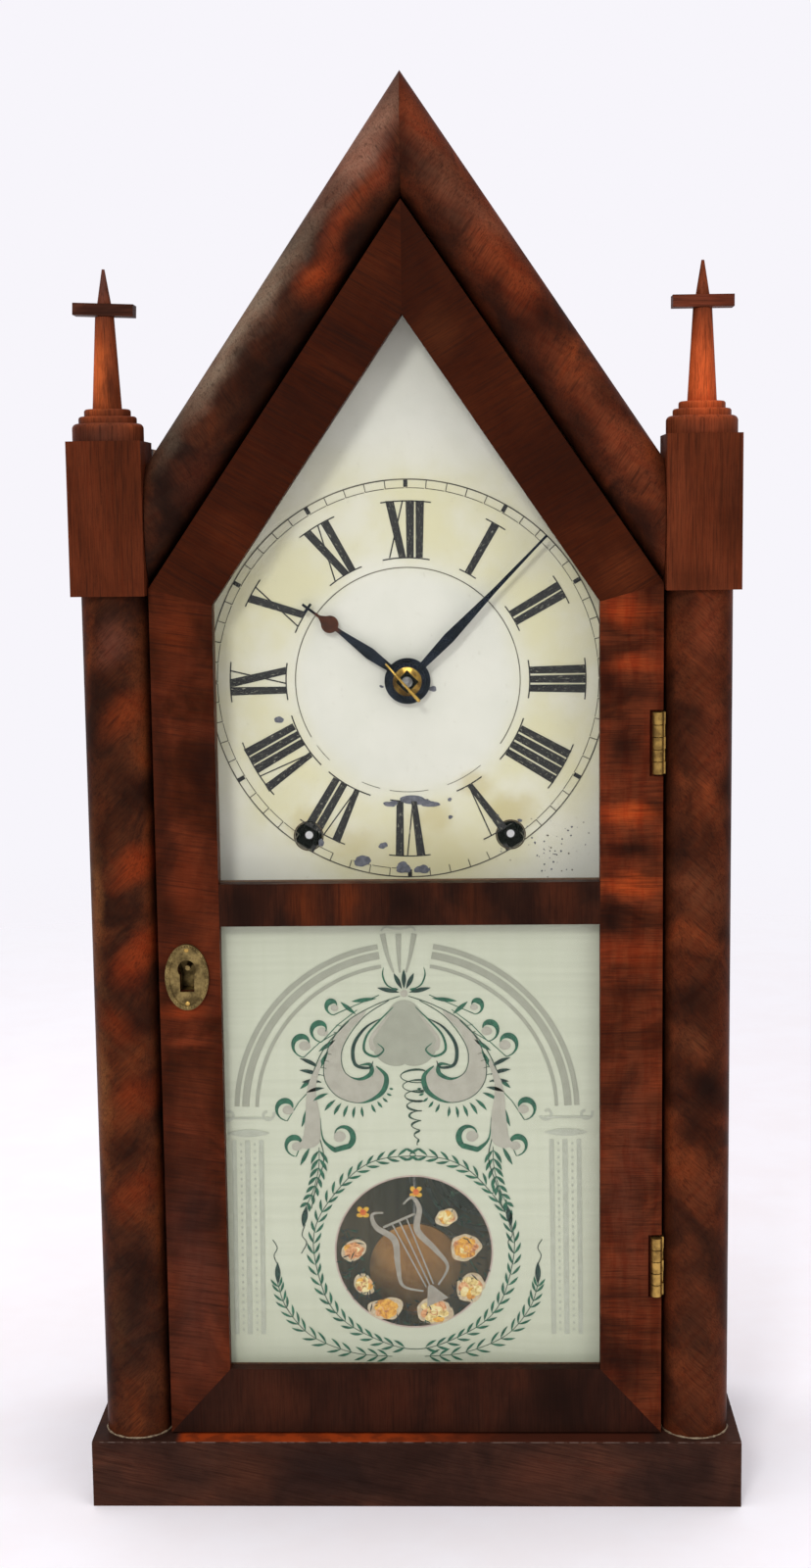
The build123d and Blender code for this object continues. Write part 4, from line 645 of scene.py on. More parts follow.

# A lighter orange strip on the top face of the base, brighter to the left, and the pale rubbed wear
# along its front edge
strip = base.mix(base.span(base.along(0), -20, 40), (150, 58, 22), (66, 32, 22))
strip = base.mix(base.span(base.noise(base.place, 0.12), 0.42, 0.6, 0, 0.5), strip, (60, 30, 20))
strip_reach = base.patch(base.place, 0, base_top, 88, 20, 0, 0.04)
strip_reach = base.sum(strip_reach, base.span(base.along(1), -44, -47))
strip_reach = base.sum(base.span(base.along(2), base_top - 0.3, base_top - 0.04), strip_reach)
top_edge = base.span(base.along(2), base_top - 0.5, base_top - 0.15)
wear = base.sum(top_edge, base.span(base.along(1), -53.4, -53.75))
wear = base.sum(wear, base.span(base.noise(base.place, 0.3), 0.42, 0.58))
base.colour(base.mix(base.sum(wear, 0.8), base.mix(strip_reach, base.shade, strip), (168, 150, 138)))

# Half the width of the dark square painted on the collet as the shade inside its hole
half_square = 3


def collet_brass():
    """Polished brass with a dark square painted in its middle as the shade inside the square hole that
    the arbor's end stands in.
    """
    made = Finish("collet_brass", 0.22, 1)
    local = made.move(made.place, shift=(hands_at[0], 0, hands_at[1]), turn=(0, 45, 0), kind="TEXTURE")
    parts = made.node("SeparateXYZ", {0: local}).outputs
    reach = made.sum(made.unsigned(parts[0]), made.unsigned(parts[2]), "MAXIMUM")
    brass = made.cloudy((224, 186, 92), (176, 136, 60), 0.4)
    # Painted shade: the dark square in the middle of the collet
    made.colour(made.mix(made.span(reach, half_square, half_square - 0.15), brass, (22, 18, 14)))
    made.rough(made.span(reach, half_square, half_square - 0.15, 0.2, 0.7))
    made.bump(made.noise(made.place, 1.2), 0.1, 0.03)
    return made


def winding_steel(name, x):
    """Steel painted near black in front of the plate as painted shade in the depth of the hole, with a
    painted highlight: a bright round disc on its end.
    """
    made = Finish(name, 0.3, 1)
    radius = made.length(made.centred((x, winding_z)))
    # Painted highlight: a bright round disc on the arbor's front end
    tip = made.sum(made.span(radius, 1.55, 1.25), made.span(made.along(1), -26.3, -26.6))
    # Painted shade: the arbor is near black in front of the plate, deep in the hole
    body = made.mix(made.span(made.along(1), -15, -13), (26, 25, 24), (150, 148, 144))
    made.colour(made.mix(tip, body, (232, 232, 228)))
    made.rough(made.span(tip, 0, 1, 0.55, 0.3))
    made.bump(made.noise(made.place, 1.2), 0.1, 0.03)
    return made


def plate_brass():
    """Brass with painted shadow, near black, round the winding arbors, where the holes in the dial let
    little light in.
    """
    made = Finish("front_plate_brass", 0.32, 1)
    brass = made.cloudy((196, 160, 84), (150, 116, 56), 0.12, 4, 0.6, 0.32, 0.68)
    wandering = made.warp(made.place, 0.2, 3)
    # Painted shadow: near-black patches on the brass round each winding arbor
    left, right = (made.patch(wandering, x, 241, 15, 15, 0, 0.4) for x in (-winding_x, winding_x))
    arbor_shadow = made.sum(left, right, "ADD")
    made.colour(made.mix(arbor_shadow, brass, (20, 18, 15)))
    made.rough(made.span(arbor_shadow, 0, 1, 0.3, 0.7))
    made.bump(made.noise(made.move(made.place, scale=(5, 5, 0.3)), 1, 3, 0.6), 0.12, 0.04)
    return made


finishes["hand_collet"] = collet_brass()
finishes["time_winding_arbor"] = winding_steel("time_arbor_steel", winding_x)
finishes["strike_winding_arbor"] = winding_steel("strike_arbor_steel", -winding_x)
hinge_brass = metal("hinge_brass", (184, 148, 80), (118, 92, 50), 0.4, size=0.25, spots=0.5,
    rust=(58, 46, 28))
for name in ("hinge_case_leaves", "hinge_door_leaves"):
    finishes[name] = hinge_brass
for name in ("escutcheon", "lock_case", "lock_bolt"):
    finishes[name] = aged_brass
finishes["front_plate"] = plate_brass()
for name in ("back_plate", "plate_pillars", "centre_wheel", "third_wheel", "escape_wheel",
        "time_great_wheel", "time_second_wheel", "hour_wheel", "minute_wheel", "strike_great_wheel",
        "strike_second_wheel", "warning_wheel", "fly", "rating_nut"):
    finishes[name] = movement_brass
finishes["pendulum_bob"] = metal("bob_brass", (224, 164, 88), (188, 132, 66), 0.55, size=0.1)
for name in ("mainsprings", "verge", "pendulum_rod", "hammer", "gong_coil"):
    finishes[name] = steel


def hour_steel():
    """Blued steel that turns to rust on the disc near the hand's tip."""
    made = Finish("hour_hand_steel", 0.3, 1)
    disc = made.warp(made.centred((-28.4, 320.6)), 0.6, 1.5)
    rusty = made.span(made.length(disc), 7, 3.6)
    blue = made.cloudy((44, 50, 62), (24, 27, 34), 0.2)
    made.colour(made.mix(rusty, blue, made.cloudy((92, 52, 38), (66, 38, 30), 0.8)))
    made.rough(made.span(rusty, 0, 1, 0.28, 0.6))
    made.bump(made.noise(made.place, 2), 0.2, 0.04)
    return made


finishes["hour_hand"] = hour_steel()


def wheel_finish(name, pinion):
    """A brass wheel on a steel arbor with a steel pinion, told apart by the distance from the arbor."""
    made = Finish(name + "_finish", 0.3, 1)
    radius = made.length(made.centred(middle(name)))
    brass = made.cloudy((188, 154, 84), (142, 110, 56), 0.12, 4, 0.6, 0.32, 0.68)
    iron = made.cloudy((168, 168, 164), (120, 118, 114), 0.5, low=0.4)
    made.colour(made.mix(made.span(radius, pinion, pinion + 0.1), iron, brass))
    turned_lines = made.noise(made.node("CombineXYZ", {0: radius}).outputs[0], 2, 4, 0.7)
    made.rough(made.span(turned_lines, 0.3, 0.7, 0.24, 0.42))
    made.bump(turned_lines, 0.1, 0.04)
    return made


pinions = {"centre_wheel": 2.2, "third_wheel": 2.9, "escape_wheel": 2.9, "time_second_wheel": 7,
    "minute_wheel": 0, "strike_second_wheel": 6, "warning_wheel": 2.9, "fly": 2.9}
for name, pinion in pinions.items():
    finishes[name] = wheel_finish(name, pinion)
for name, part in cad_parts.items():
    for place in range(len(part.data.materials)):
        part.material_slots[place].material = finishes[name].material

# Dial painting

ink = worn_black()
hairline = plain_paint("ring_black", (58, 56, 46), (112, 108, 88), 0.5, 0.12)
chip_grey = plain_paint("bare_tin", (112, 114, 122), (86, 88, 96), 0.55, 0.8, 0.3)


def on_dial(angle, radius, aside=0):
    """A point by its clock angle and distance from the hands' centre."""
    return around(around(hands_at, radius, 90 - angle), aside, -angle)


numerals = Drawing(dial_y - 0.1)
numeral_foot = 43.6
numeral_head = 63.6


def dial_stroke(angle, foot, head, foot_width, head_width):
    """One straight stroke of a numeral, from its foot to its head, both offsets from the middle."""
    numerals.layer += 1
    corners = [on_dial(angle, numeral_foot, foot - foot_width / 2),
        on_dial(angle, numeral_foot, foot + foot_width / 2),
        on_dial(angle, numeral_head, head + head_width / 2),
        on_dial(angle, numeral_head, head - head_width / 2)]
    shift = angle * 3 + head * 7
    map_to = [(shift, 0), (shift + foot_width, 0), (shift + head_width, 20), (shift, 20)]
    numerals.face(corners, 0, map_to)


words = "I II III IIII V VI VII VIII IX X XI XII".split()
letter_widths = {"I": 3.5, "V": 7.2, "X": 6.6}
for hour, word in enumerate(words, 1):
    angle = hour * 30
    width = sum(letter_widths[letter] for letter in word)
    at = -width / 2
    for letter in word:
        step = letter_widths[letter]
        middle = at + step / 2
        if letter == "I":
            dial_stroke(angle, middle * 0.92, middle, 2.5, 3)
        elif letter == "V":
            dial_stroke(angle, middle, middle - 2.4, 2, 3.1)
            dial_stroke(angle, middle + 0.4, middle + 2.6, 0.45, 0.45)
        else:
            dial_stroke(angle, middle + 2.2, middle - 2.2, 2.6, 3)
            dial_stroke(angle, middle - 2.4, middle + 2.4, 0.5, 0.5)
        at += step
    for radius, reach in ((numeral_foot, 1.6), (numeral_head, 2.2)):
        lean = degrees((width / 2 + reach) / radius)
        numerals.ring(hands_at, radius - 0.22, radius + 0.22, 90 - angle - lean, 90 - angle + lean, 14)
numerals.make("dial_numerals", [ink], "case")

rings = Drawing(dial_y - 0.1)
pick = random.Random(4)
track_outer = 71.2
track_inner = 68.2
inner_ring = 40.2
for part in range(60):
    start = part * 6
    faded = 140 < start < 215 and pick.random() < 0.5
    rings.ring(hands_at, track_outer - 0.22, track_outer + 0.22, 90 - start - 6, 90 - start, 6)
    if not faded:
        rings.ring(hands_at, track_inner - 0.12, track_inner + 0.12, 90 - start - 5.6, 90 - start, 6)
    half = 0.75 if part % 5 == 0 else 0.16
    low = track_inner + (0.3 if part % 5 == 0 else 0)
    corners = [on_dial(start, low, -half), on_dial(start, low, half), on_dial(start, track_outer, half),
        on_dial(start, track_outer, -half)]
    rings.face(corners, 1 if part % 5 == 0 else 0)
for part in range(72):
    start = part * 5
    below = 120 < start < 240
    if below and pick.random() < 0.55:
        continue
    half = 0.09 if below else 0.16
    rings.ring(hands_at, inner_ring - half, inner_ring + half, 90 - start - 5, 90 - start, 5)
rings.make("dial_rings", [hairline, ink], "case")

chips = Drawing(dial_y - 0.14)
chip_places = ((2, 256.2, 6, 1.5), (-6.6, 255, 2, 1.3), (7.6, 254.8, 3, 1.2), (14.6, 256.4, 0.8, 0.6),
    (14.8, 250, 0.8, 0.7), (-9.6, 239.8, 1.5, 1.2), (-17.2, 234.2, 3.2, 1.9), (-2.4, 231.6, 3, 1.8),
    (4.4, 231, 2.8, 1.5), (-46.4, 285.8, 1.8, 1.1), (8.9, 296.4, 1.4, 1), (-32, 241, 1, 1.4),
    (39.8, 248.6, 0.8, 0.6), (-9.4, 297.4, 0.7, 0.5))
for seed, (x, z, half_x, half_z) in enumerate(chip_places, 1):
    chips.blob(x, z, half_x, half_z, 0, 0.3, seed)
pick = random.Random(9)
for speck in range(46):
    x = 50 + pick.gauss(0, 7.5)
    z = 238 + pick.gauss(0, 7.5)
    if abs(x) < 67 and 218 < z < 262:
        size = pick.uniform(0.12, 0.38)
        chips.blob(x, z, size, size, 0, 0.2, speck, 9)
chips.make("paint_chips", [chip_grey], "case")

rust_rims = Drawing(dial_y - 0.12)
for x in (-winding_x, winding_x):
    rust_rims.ring((x, winding_z), 4.95, 5.45, steps=48)
rust_rims.make("winding_hole_rims", [plain_paint("hole_rust", (58, 44, 30), (92, 76, 50), 0.7, 1.2)],
    "case")

# Tablet painting

tablet_x = -2.4
rosette = (tablet_x, 187.8)
ground_y = glass_back + 0.34
paint_y = glass_back + 0.18
window = (0, 91.3)
window_radius = 28.6
tablet_paints = [plain_paint(*paint, 0.05)
    for paint in (("tablet_grey", (166, 169, 149), (160, 163, 143), 0.4, 0.2),
    ("tablet_pale_grey", (178, 182, 162), (186, 191, 171), 0.4, 0.3),
    ("tablet_warm_grey", (172, 170, 152), (182, 180, 162), 0.4, 0.2),
    ("tablet_green", (40, 108, 78), (28, 84, 62), 0.4, 0.5),
    ("tablet_dark_green", (24, 66, 52), (14, 42, 36), 0.4, 0.5),
    ("tablet_black_green", (30, 58, 46), (60, 92, 70), 0.4, 0.6))]

ground = Drawing(ground_y)
half_width = 68.8
low_z, high_z = 48, 215.6


def rim_and_edge(angle):
    """The points where a line from the window's middle meets its rim and the tablet's edge."""
    way_x, way_z = around((0, 0), 1, angle)
    height = high_z - window[1] if way_z > 0 else window[1] - low_z
    reach = min(half_width / max(abs(way_x), 1e-9), height / max(abs(way_z), 1e-9))
    return around(window, window_radius, angle), around(window, reach, angle)


for step in range(96):
    (rim, edge), (next_rim, next_edge) = rim_and_edge(step * 3.75), rim_and_edge((step + 1) * 3.75)
    at_side = [abs(abs(x) - half_width) < 0.01 for x, z in (edge, next_edge)]
    corner = []
    if at_side == [True, False]:
        corner = [(edge[0], next_edge[1])]
    elif at_side == [False, True]:
        corner = [(next_edge[0], edge[1])]
    ground.face([rim, edge, *corner, next_edge, next_rim])
ground.make("tablet_ground", [tablet_ground()], "door")

art = Drawing(paint_y)
greys, pales, warms, greens, darks, lines = range(6)
arch = (tablet_x + 0.4, 144.1)
for inner, outer in ((60.6, 62.5), (57, 59.7), (53.6, 54.9)):
    art.ring(arch, inner, outer, 2, 80.5, 60, greys)
    art.ring(arch, inner, outer, 99, 178, 60, greys)
key_x = tablet_x - 1.8
for head, foot, width in ((-5.7, -1.9, 2.1), (0, 0.4, 2.1), (5.7, 2.6, 2.1)):
    art.stroke(curve([(key_x + head, 209.6), (key_x + head * 0.62 + foot * 0.3, 202),
        (key_x + foot, 195.4)], 8), lambda s, w=width: w * (1 - 0.66 * s), greys)
art.stroke(curve([(key_x - 6.2, 210.6), (key_x - 4.6, 212), (key_x, 211.3), (key_x + 4.6, 212),
    (key_x + 6.2, 210.6)], 6), 0.7, pales)
for side in (-1, 1):
    middle = arch[0] + side * 57.6
    art.stroke([(middle - 8, 141.8), (middle + 8, 141.8)], 0.8, pales)
    for curl in (-1, 1):
        art.stroke(volute(middle + curl * 7, 143.2, 2.6, 90 - curl * 90 + 20, -curl * 0.8, 18), 1,
            pales)
    line = [(middle - 7.6 + 15.2 * i / 16, 136.2) for i in range(17)]
    art.stroke(line, lambda s: 0.4 + 2.4 * sin(pi * s), pales)
    for shift, width in ((-5.2, 1.6), (-0.4, 1.8), (4.6, 1.6)):
        art.stroke([(middle + shift, 133.6), (middle + shift + side * 0.6, 60)], width, pales)
    for shift in (-2.8, 2.2):
        for dot in range(28):
            art.blob(middle + shift + side * dot * 0.02, 132 - dot * 2.6, 0.42, 0.55, pales, 0.1, dot,
                8)


def spray(line, leaves, length, width, spread, grow=0):
    """Leaves in pairs along a stem that get shorter towards its tip."""
    art.stroke(line, 0.26, lines)
    for leaf in range(leaves):
        share = (leaf + 0.6) / leaves
        place = min(int(share * (len(line) - 1)), len(line) - 2)
        here, there = line[place], line[place + 1]
        heading = heading_of(here, there)
        size = length * (1 - 0.45 * abs(share - grow))
        for side in (-1, 1):
            art.leaf(*here, heading + side * spread, size, width, greens, bend=-side * 14)


def half_of_scrolls(side):
    """One half of the green scrollwork. Places are from the rosette, outwards and down."""
    def at_one(x, z):
        return rosette[0] + side * x, rosette[1] - z

    def run(points, steps=8):
        return curve([at_one(*point) for point in points], steps)

    outer_line = run([(1.5, 1), (11, 4.5), (21.5, 11), (28, 21), (29.2, 31), (24.5, 38), (16, 40.4),
        (8.6, 36.8), (6.8, 30.8), (10.4, 26.8)])
    inner_line = run([(5.5, 2.6), (13, 7.5), (19.5, 13.5), (22.4, 21), (22.2, 28), (18, 31.2),
        (13.6, 31), (11.6, 30.4), (11, 29.4), (11.2, 28.4)])
    art.between(outer_line[10:], inner_line[10:], warms)
    second_line = run([(5.5, 2.6), (15, 9), (22.4, 20), (22, 28.5), (17, 31.6), (12.4, 29.6),
        (12.6, 26.2), (16.4, 26.4)])
    art.stroke(outer_line, lambda s: 0.3 + 1.3 * max(0, sin(pi * (s - 0.72) / 0.28)) * (s > 0.72),
        lines)
    art.stroke(outer_line[-26:], swell(1.9, 0.1), greens)
    art.stroke(second_line, 0.3, lines)
    art.stroke(second_line[-30:], swell(1.6, 0.1), greens)
    art.stroke(run([(8, 9), (14, 12.5), (18.4, 19), (18, 26), (13, 27.4), (11.4, 24.8)]),
        swell(1.3, 0.1), darks)
    inner_curl = run([(4, 5), (9, 10), (13.6, 15.4), (14.6, 21), (10.6, 23.2), (7.6, 20.8),
        (9.8, 18.4)])
    art.between(run([(4.6, 6.6), (9, 11.4), (12.6, 16.4), (12.4, 20.4), (10.8, 21.4)], 6),
        run([(4.6, 6.8), (8.4, 12.4), (11.2, 16.8), (10.8, 19), (10.4, 19.8)], 6), warms)
    art.stroke(inner_curl, swell(0.9, 0.25), greens)
    trunk = run([(20, 10), (29, 20), (34, 32), (34.6, 44), (31.2, 54), (30, 62), (33, 72), (34.8, 80)],
        9)
    art.stroke(trunk, 0.35, lines)
    fill_a = run([(30.6, 24), (35.2, 34), (36.4, 46), (37.6, 54), (41, 56.4)], 7)
    fill_b = run([(30.2, 26), (32.4, 35), (31, 46), (31.4, 55), (35.6, 57.6)], 7)
    art.between(fill_a, fill_b, warms)
    tops = ((9, 0.6, 25.5, 4.6, 3.2, 0.75), (17, 6, 30, 13.4, 4.4, 0.8), (24, 14, 36.5, 18.6, 4.8, 0.8),
        (33, 34, 43, 42.4, 4.6, 0.85), (33.4, 48, 40, 56, 4.4, 0.85))
    for x0, z0, x1, z1, radius, turns in tops:
        lead = run([(x0, z0), ((x0 + x1) / 2 + 0.6, (z0 + z1) / 2 + 1.8)], 6)
        spiral = volute(*at_one(x1, z1), radius, 270, side * turns)
        art.stroke(lead + spiral, lambda s: 0.28 + 1.9 * max(0, sin(pi * s ** 1.5)) ** 3, greens)
        art.blob(*at_one(x1 - 0.4, z1 + 0.6), radius * 0.42, radius * 0.38, warms, 0.1, 3)
    low_curl = volute(*at_one(23.4, 52.6), 5.2, 270, -side * 0.85)
    low_line = run([(31, 46), (30, 54), (26, 58)]) + low_curl[3:]
    art.stroke(low_line, lambda s: 0.28 + 1.9 * sin(pi * s) ** 3, greens)
    art.blob(*at_one(24, 53), 2.2, 2, warms, 0.1, 5)
    drops = ((2, -1.6, 10, 3.6), (10, 1.8, 7, 9), (17.5, 7.6, -40, 7), (25, 17, 35, 7.4),
        (27.6, 21, 62, 8.4), (33.2, 31, 40, 6.4), (34.4, 40, 70, 10), (34, 52, 45, 7),
        (35, 57, 62, 7.6))
    for x, z, turn, length in drops:
        angle = -turn if side > 0 else 180 + turn
        art.leaf(*at_one(x, z), angle, length, 1.5, greens)
    for leaf in range(15):
        share = leaf / 14
        place = int(len(outer_line) * (0.4 + 0.42 * share))
        here, there = outer_line[place], outer_line[place + 1]
        heading = heading_of(here, there)
        out_way = heading + side * 90
        angle = out_way + side * 38 * (1 - share)
        length = 6.4 * (1 - share) + 1.6
        use = darks if share < 0.25 else greens
        art.leaf(*around(here, 1.5, out_way), angle, length, 1.5 - 0.7 * share, use, bend=-side * 12)
    for tick in range(9):
        x, z = 22.4 + tick, 12 + tick * 2.6
        art.stroke([at_one(x, z), at_one(x + 2.2, z - 0.5)], 0.22, lines)
    stem = run([(31.6, 57), (31.8, 64), (33.6, 72), (36.6, 79)], 12)
    spray(stem, 7, 6, 1.3, 46)
    art.leaf(*stem[-1], -80 if side > 0 else -100, 8, 2.2, darks)
    art.stroke(run([(37.2, 86), (38.4, 90), (36.8, 93), (38.8, 97)], 6), 0.3, darks)
    fern = run([(6, 136.4), (21, 134.8), (36, 128.2), (44.6, 117.8), (47.6, 108.8)], 12)
    spray(fern, 14, 5.6, 0.9, 44, grow=0.4)
    art.leaf(*fern[-1], 90, 8.4, 2, darks)
    art.stroke(run([(47.8, 100.8), (48.8, 97.8), (47.6, 94.8), (49.2, 91.8)], 6), 0.3, darks)


for side in (-1, 1):
    half_of_scrolls(side)
art.blob(*rosette, 1.3, 1.4, warms, 0.05, 2)
for angle, length in ((90, 7), (116, 6.4), (64, 6.4), (12, 8), (168, 8)):
    art.leaf(*around(rosette, 1.8, angle), angle, length, 1.6, darks)
tendril = ((2.2, 1.2), (6, 3), (7.6, 6.6), (7.2, 9.6))
for side in (-1, 1):
    line = curve([(rosette[0] + side * x, rosette[1] + z) for x, z in tendril], 8)
    art.stroke(line, swell(0.6), greens)
club = []
club_z = 171.2
for step in range(72):
    turn = 2 * pi * step / 72
    size = 9.4 + 2.6 * abs(cos(1.5 * (turn - pi / 2))) ** 0.8
    if sin(turn) > 0.55:
        size = 9.6 + 4.6 * ((sin(turn) - 0.55) / 0.45) ** 2.4
    club.append((tablet_x + size * 1.02 * cos(turn), club_z + size * sin(turn)))
for a, b in zip(club, club[1:] + club[:1]):
    art.face([(tablet_x, club_z), a, b], greys)
squiggle = []
for step in range(150):
    share = step / 149
    turn = share * 2 * pi * 7.5
    size = 4.6 * (1 - share) ** 0.8
    x = tablet_x + 2.6 + size * cos(turn) + 1.6 * share
    squiggle.append((x, 159 - 27.5 * share + (1 - share) * 1.5 * sin(turn)))
art.stroke(squiggle, lambda s: 0.34 + 0.5 * max(0, sin(s * 55)), lines)

# The wreath round the window
wreath = 36.6
for step in range(120):
    ends = (step * 3, step * 3 + 3)
    art.stroke([around(window, wreath + 0.5 * sin(radians(a * 7)), a) for a in ends], 0.28, lines)
for side in (-1, 1):
    for leaf in range(28):
        share = leaf / 27
        turn = -84 + 172 * share
        angle = turn if side > 0 else 180 - turn
        heading = angle + side * 90
        x, z = around(window, wreath, angle)
        if z + 2 > high_z or z < low_z + 3:
            continue
        for lean in (-1, 1):
            art.leaf(x, z, heading + lean * 42 * side, 4.9, 1.02, greens, bend=-lean * side * 14)
art.make("tablet_painting", tablet_paints, "door")

# The garland in the round window
greens_of_garland = [plain_paint(*paint, 0.05)
    for paint in (("garland_shade", (50, 54, 50), (62, 60, 52), 0.5, 0.3),
    ("garland_green", (54, 82, 60), (34, 56, 46), 0.5, 0.4))]
roses_of_garland = [petal_paint(*paint)
    for paint in (("rose_cream", (236, 224, 168), (222, 196, 120), (170, 138, 84)),
    ("rose_gold", (232, 184, 78), (214, 150, 58), (166, 108, 60)),
    ("rose_peach", (226, 178, 128), (206, 140, 86), (150, 96, 66)))]
others_of_garland = [plain_paint(*paint, 0.05)
    for paint in (("lyre_grey", (164, 158, 142), (150, 144, 128), 0.5, 0.4),
    ("flower_red", (196, 84, 44), (214, 120, 48), 0.5, 0.8),
    ("flower_yellow", (220, 176, 60), (206, 156, 52), 0.5, 0.8),
    ("window_rim", (196, 176, 160), (178, 160, 146), 0.5, 0.6),
    ("petal_edge", (206, 192, 158), (184, 162, 128), 0.5, 0.5))]

garland = Drawing(ground_y - 0.08)
pick = random.Random(21)
garland.ring(window, window_radius - 0.25, window_radius + 0.35, steps=96, use=8)
for tuft in range(150):
    turn = pick.uniform(-205, 60)
    reach = pick.uniform(18, 27)
    x, z = around(window, reach, turn)
    angle = turn + pick.uniform(-70, 70)
    length = min(pick.uniform(2, 4.2), 29 - reach)
    garland.leaf(x, z, angle, length, 0.5, pick.choice((0, 1)))
roses = ((-22, 0.6, 4, "peach"), (-18.4, -12.4, 3.6, "cream"), (-10.4, -21.6, 4.8, "gold"),
    (7.4, -22.6, 5.4, "cream"), (20.6, -13.6, 5, "cream"), (18.8, 1.6, 5, "gold"),
    (12, 13, 3.4, "cream"))
uses = {"cream": 2, "gold": 3, "peach": 4}
for place, (x, z, size, kind) in enumerate(roses):
    x, z = window[0] + x, window[1] + z
    garland.blob(x, z, size * 1.12, size * 1.02, 9, 0.22, place)
rose_tops = Drawing(ground_y - 0.11)
for place, (x, z, size, kind) in enumerate(roses):
    x, z = window[0] + x, window[1] + z
    others = [uses[kind], 4, uses[kind], 3]
    for petal in range(7):
        turn = radians(petal * 51.4 + place * 31)
        rose_tops.blob(x + size * 0.5 * cos(turn), z + size * 0.46 * sin(turn), size * 0.42,
            size * 0.38, others[(petal + place) % 4], 0.25, place * 7 + petal, 14)
    for petal in range(3):
        turn = radians(petal * 120 + place * 47)
        rose_tops.blob(x + size * 0.18 * cos(turn), z + size * 0.18 * sin(turn), size * 0.36,
            size * 0.3, uses[kind] if petal else 2, 0.3, place * 11 + petal, 14)
    rose_tops.stroke(volute(x, z, size * 0.34, place * 50, 0.8, 12), 0.4, 4)
for x, z in ((1, 22.6), (-18.4, 15)):
    middle = (window[0] + x, window[1] + z)
    for petal in range(4):
        rose_tops.blob(*around(middle, 1.5, 45 + petal * 90), 1.1, 1, 7, 0.2, petal, 12)
    rose_tops.blob(*middle, 1.1, 1.3, 6, 0.2, 3, 12)


def leaned(points, lean=24):
    """Points of the lyre, turned to its lean about the window's middle."""
    return [around(around(window, x, lean), z, lean + 90) for x, z in points]


for side in (-1, 1):
    arm = curve(leaned([(side * 4, 18), (side * 8, 19), (side * 8.6, 14), (side * 4.6, 7),
        (side * 7.4, -2), (side * 9, -10), (side * 3, -15)]), 8)
    rose_tops.stroke(arm, lambda s: 0.7 + 1.7 * sin(pi * s) ** 2, 5)
for shift in (-2.4, 0, 2.4):
    rose_tops.stroke(leaned([(shift * 1.2, 13), (shift * 0.6, -14)]), 0.55, 5)
rose_tops.stroke(leaned([(-6.4, 13), (6.4, 13)]), 0.9, 5)
rose_tops.stroke(leaned([(0, -14), (0, -21)]), lambda s: 1.6 + 7 * s ** 2, 5)
petals = greens_of_garland + roses_of_garland + others_of_garland
# Painted reflection: a pale, milky, see-through film over the round window stands for the glass's
# reflection
window_reflection = Drawing(ground_y)
window_reflection.blob(*window, window_radius - 0.3, window_radius - 0.3, 0, 0, 0, 64)
window_reflection.make("window_haze_reflection", [glass("window_haze_reflection", (150, 146, 124), 0.26)], "door")
garland.make("window_garland", petals, "door")
rose_tops.make("window_roses", petals, "door")

# Small fittings

pin_start = Vector((-7.6, -38, 306.2))
pin_end = Vector((4.4, -38, 292.6))


def taper_pin(shape):
    way = pin_end - pin_start
    length = way.length
    turned(shape, pin_start, way, [(0, 0.1), (0.15, 0.3), (length * 0.5, 0.46), (length - 0.4, 0.62),
        (length - 0.12, 0.5), (length, 0.2)], 16)


def dome(shape, x, y, z, radius, rise, sink=0.2):
    """A round nail head that faces the front."""
    steps = 6
    profile = [(-sink, radius)] + [(rise * sin(pi / 2 * i / steps),
        max(radius * cos(pi / 2 * i / steps), 0.02)) for i in range(steps + 1)]
    turned(shape, (x, y, z), (0, -1, 0), profile, 20)


solid("taper_pin", taper_pin, polished_brass, "minute_arbor")
bright_brass = metal("nail_brass", (206, 170, 96), (160, 126, 64), 0.3)


def escutcheon_nails(shape):
    for rise in (9.9, -9.7):
        dome(shape, lock_at[0], lock_front + 0.6, lock_at[1] + rise, 0.95, 0.45)


def escutcheon_beads(shape):
    for bead in range(44):
        turn = 2 * pi * bead / 44
        x, z = lock_at[0] + 7.05 * cos(turn), lock_at[1] + 11.15 * sin(turn)
        dome(shape, x, lock_front, z, 0.5, 0.28, sink=0.1)


def dial_brads(shape):
    for side in (-1, 1):
        for z in (228, 276, 326):
            dome(shape, side * 80, dial_y, z, 1.1, 0.4, sink=0.05)


solid("dial_brads", dial_brads, steel, "case")
solid("escutcheon_nails", escutcheon_nails, bright_brass, "door")
solid("escutcheon_beads", escutcheon_beads, aged_brass, "door")

glue = plain_paint("old_glue", (150, 132, 104), (96, 74, 54), 0.6, 0.6, 0.2)


def glue_rings(shape):
    for side in (-1, 1):
        rows = []
        for step in range(25):
            turn = pi * (1 + step / 24)
            way = (cos(turn), sin(turn))
            wave = 0.12 * sin(step * 1.7)
            row = []
            for reach, rise in ((12.02, 0.02), (12.03, 0.5 + wave), (12.25, 0.3), (12.5 + wave, 0.02)):
                place = (side * column_x + reach * way[0], column_y + reach * way[1], base_top + rise)
                row.append(shape.verts.new(Vector(place) * mm))
            rows.append(row)
        for first, second in zip(rows, rows[1:]):
            for a in range(4):
                b = (a + 1) % 4
                shape.faces.new((first[a], first[b], second[b], second[a]))
        shape.faces.new(rows[0])
        shape.faces.new(rows[-1][::-1])


solid("column_glue", glue_rings, glue, "case")

# Floor, lights and camera

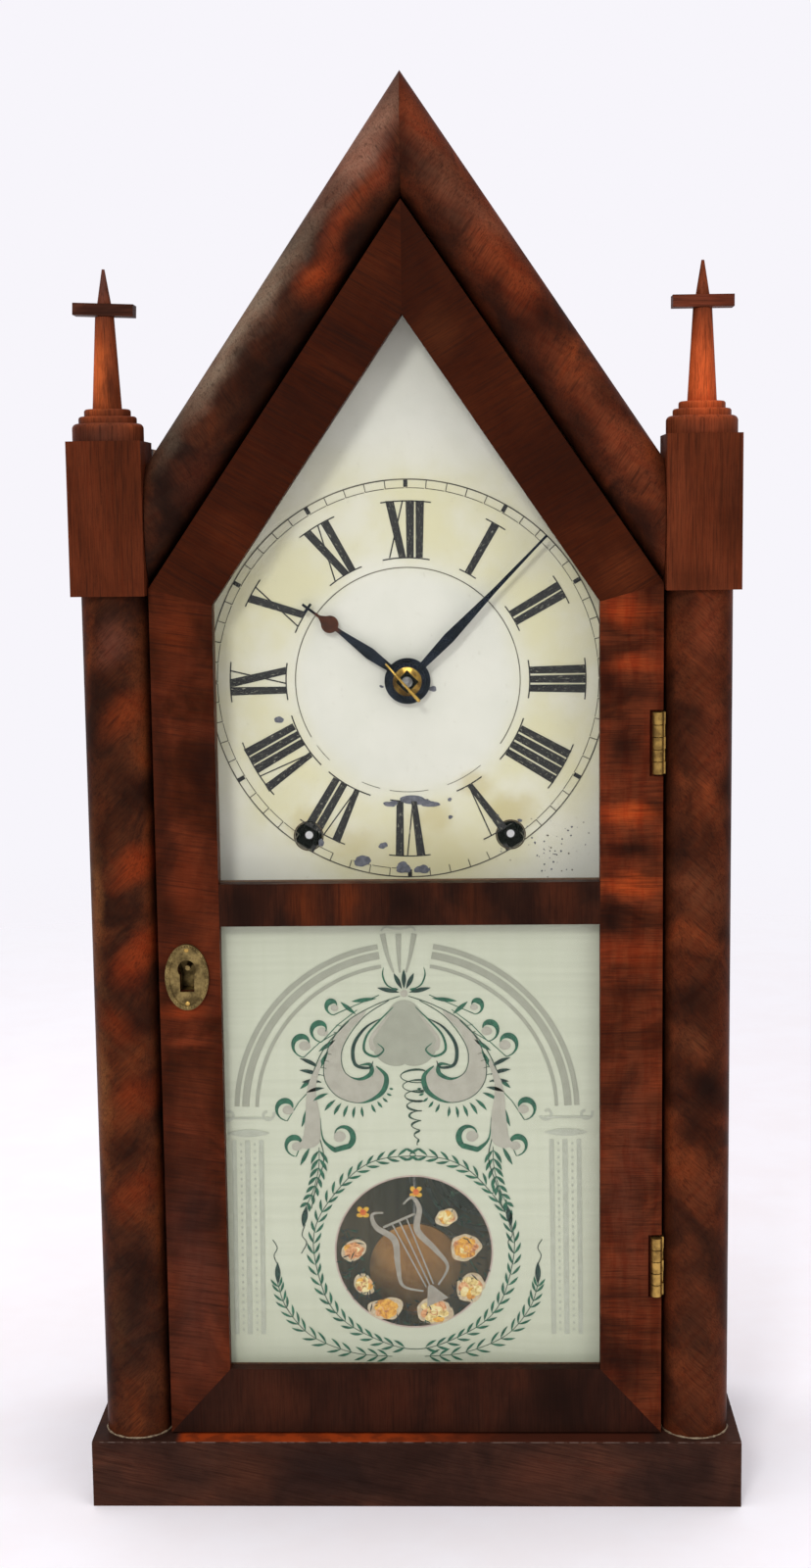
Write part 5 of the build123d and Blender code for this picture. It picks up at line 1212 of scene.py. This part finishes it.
floor_data = bpy.data.meshes.new("floor")
floor_shape = bmesh.new()
bmesh.ops.create_circle(floor_shape, cap_ends=True, segments=96, radius=4)
floor_shape.to_mesh(floor_data)
floor_shape.free()
floor_finish = Finish("floor_paper", 0.8)
floor_finish.colour(floor_finish.cloudy((250, 245, 247), (252, 249, 252), 0.02, 4, 0.6, 0.3, 0.7))
floor_reach = floor_finish.length(floor_finish.place)
floor_finish.feed(floor_finish.shader.inputs["Alpha"], floor_finish.span(floor_reach, 1500, 260))
floor_data.materials.append(floor_finish.material)
floor = bpy.data.objects.new("floor", floor_data)
link(floor)
floor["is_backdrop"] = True

world = bpy.data.worlds.new("studio")
bpy.context.scene.world = world
world.use_nodes = True
sky = world.node_tree.nodes["Background"]
sky.inputs["Color"].default_value = tone(247, 245, 251)
rays = world.node_tree.nodes.new("ShaderNodeLightPath")
level_of_light = world.node_tree.nodes.new("ShaderNodeMapRange")
level_of_light.inputs["To Min"].default_value = 0.74
level_of_light.inputs["To Max"].default_value = 1
world.node_tree.links.new(rays.outputs["Is Camera Ray"], level_of_light.inputs["Value"])
world.node_tree.links.new(level_of_light.outputs[0], sky.inputs["Strength"])


def lamp(name, place, target, power, width):
    data = bpy.data.lights.new(name, "AREA")
    data.shape = "RECTANGLE"
    data.size = width
    data.size_y = width
    data.energy = power
    made = bpy.data.objects.new(name, data)
    made.location = place
    made.rotation_euler = (Vector(target) - Vector(place)).to_track_quat("-Z", "Y").to_euler()
    link(made)


lamp("key", (-0.5, -1.9, 1.3), (0, 0, 0.25), 15.5, 0.42)
lamp("fill", (1.5, -1.6, 0.9), (0, 0, 0.25), 5.5, 1.2)
lamp("top", (0, 0, 2.2), (0, 0, 0), 18, 1.6)

pitch, yaw, roll = 0.1297, 0.0299, 0.0126
forward = Vector((-sin(yaw) * cos(pitch), cos(yaw) * cos(pitch), -sin(pitch)))
level = Vector((cos(yaw), sin(yaw), 0))
upright = level.cross(forward)
right = cos(roll) * level - sin(roll) * upright
up = sin(roll) * level + cos(roll) * upright
camera_data = bpy.data.cameras.new("camera")
camera_data.lens = 47.644
camera_data.sensor_width = 36
camera_data.sensor_fit = "AUTO"
camera_data.clip_start = 0.01
camera = bpy.data.objects.new("camera", camera_data)
turn = Matrix((right, up, -forward)).transposed().to_4x4()
camera.matrix_world = Matrix.Translation((0.0208888, -0.7692639, 0.3587347)) @ turn
link(camera)
bpy.context.scene.camera = camera
bpy.context.scene.view_settings.view_transform = "Standard"

bpy.context.view_layer.update()
low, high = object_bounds()
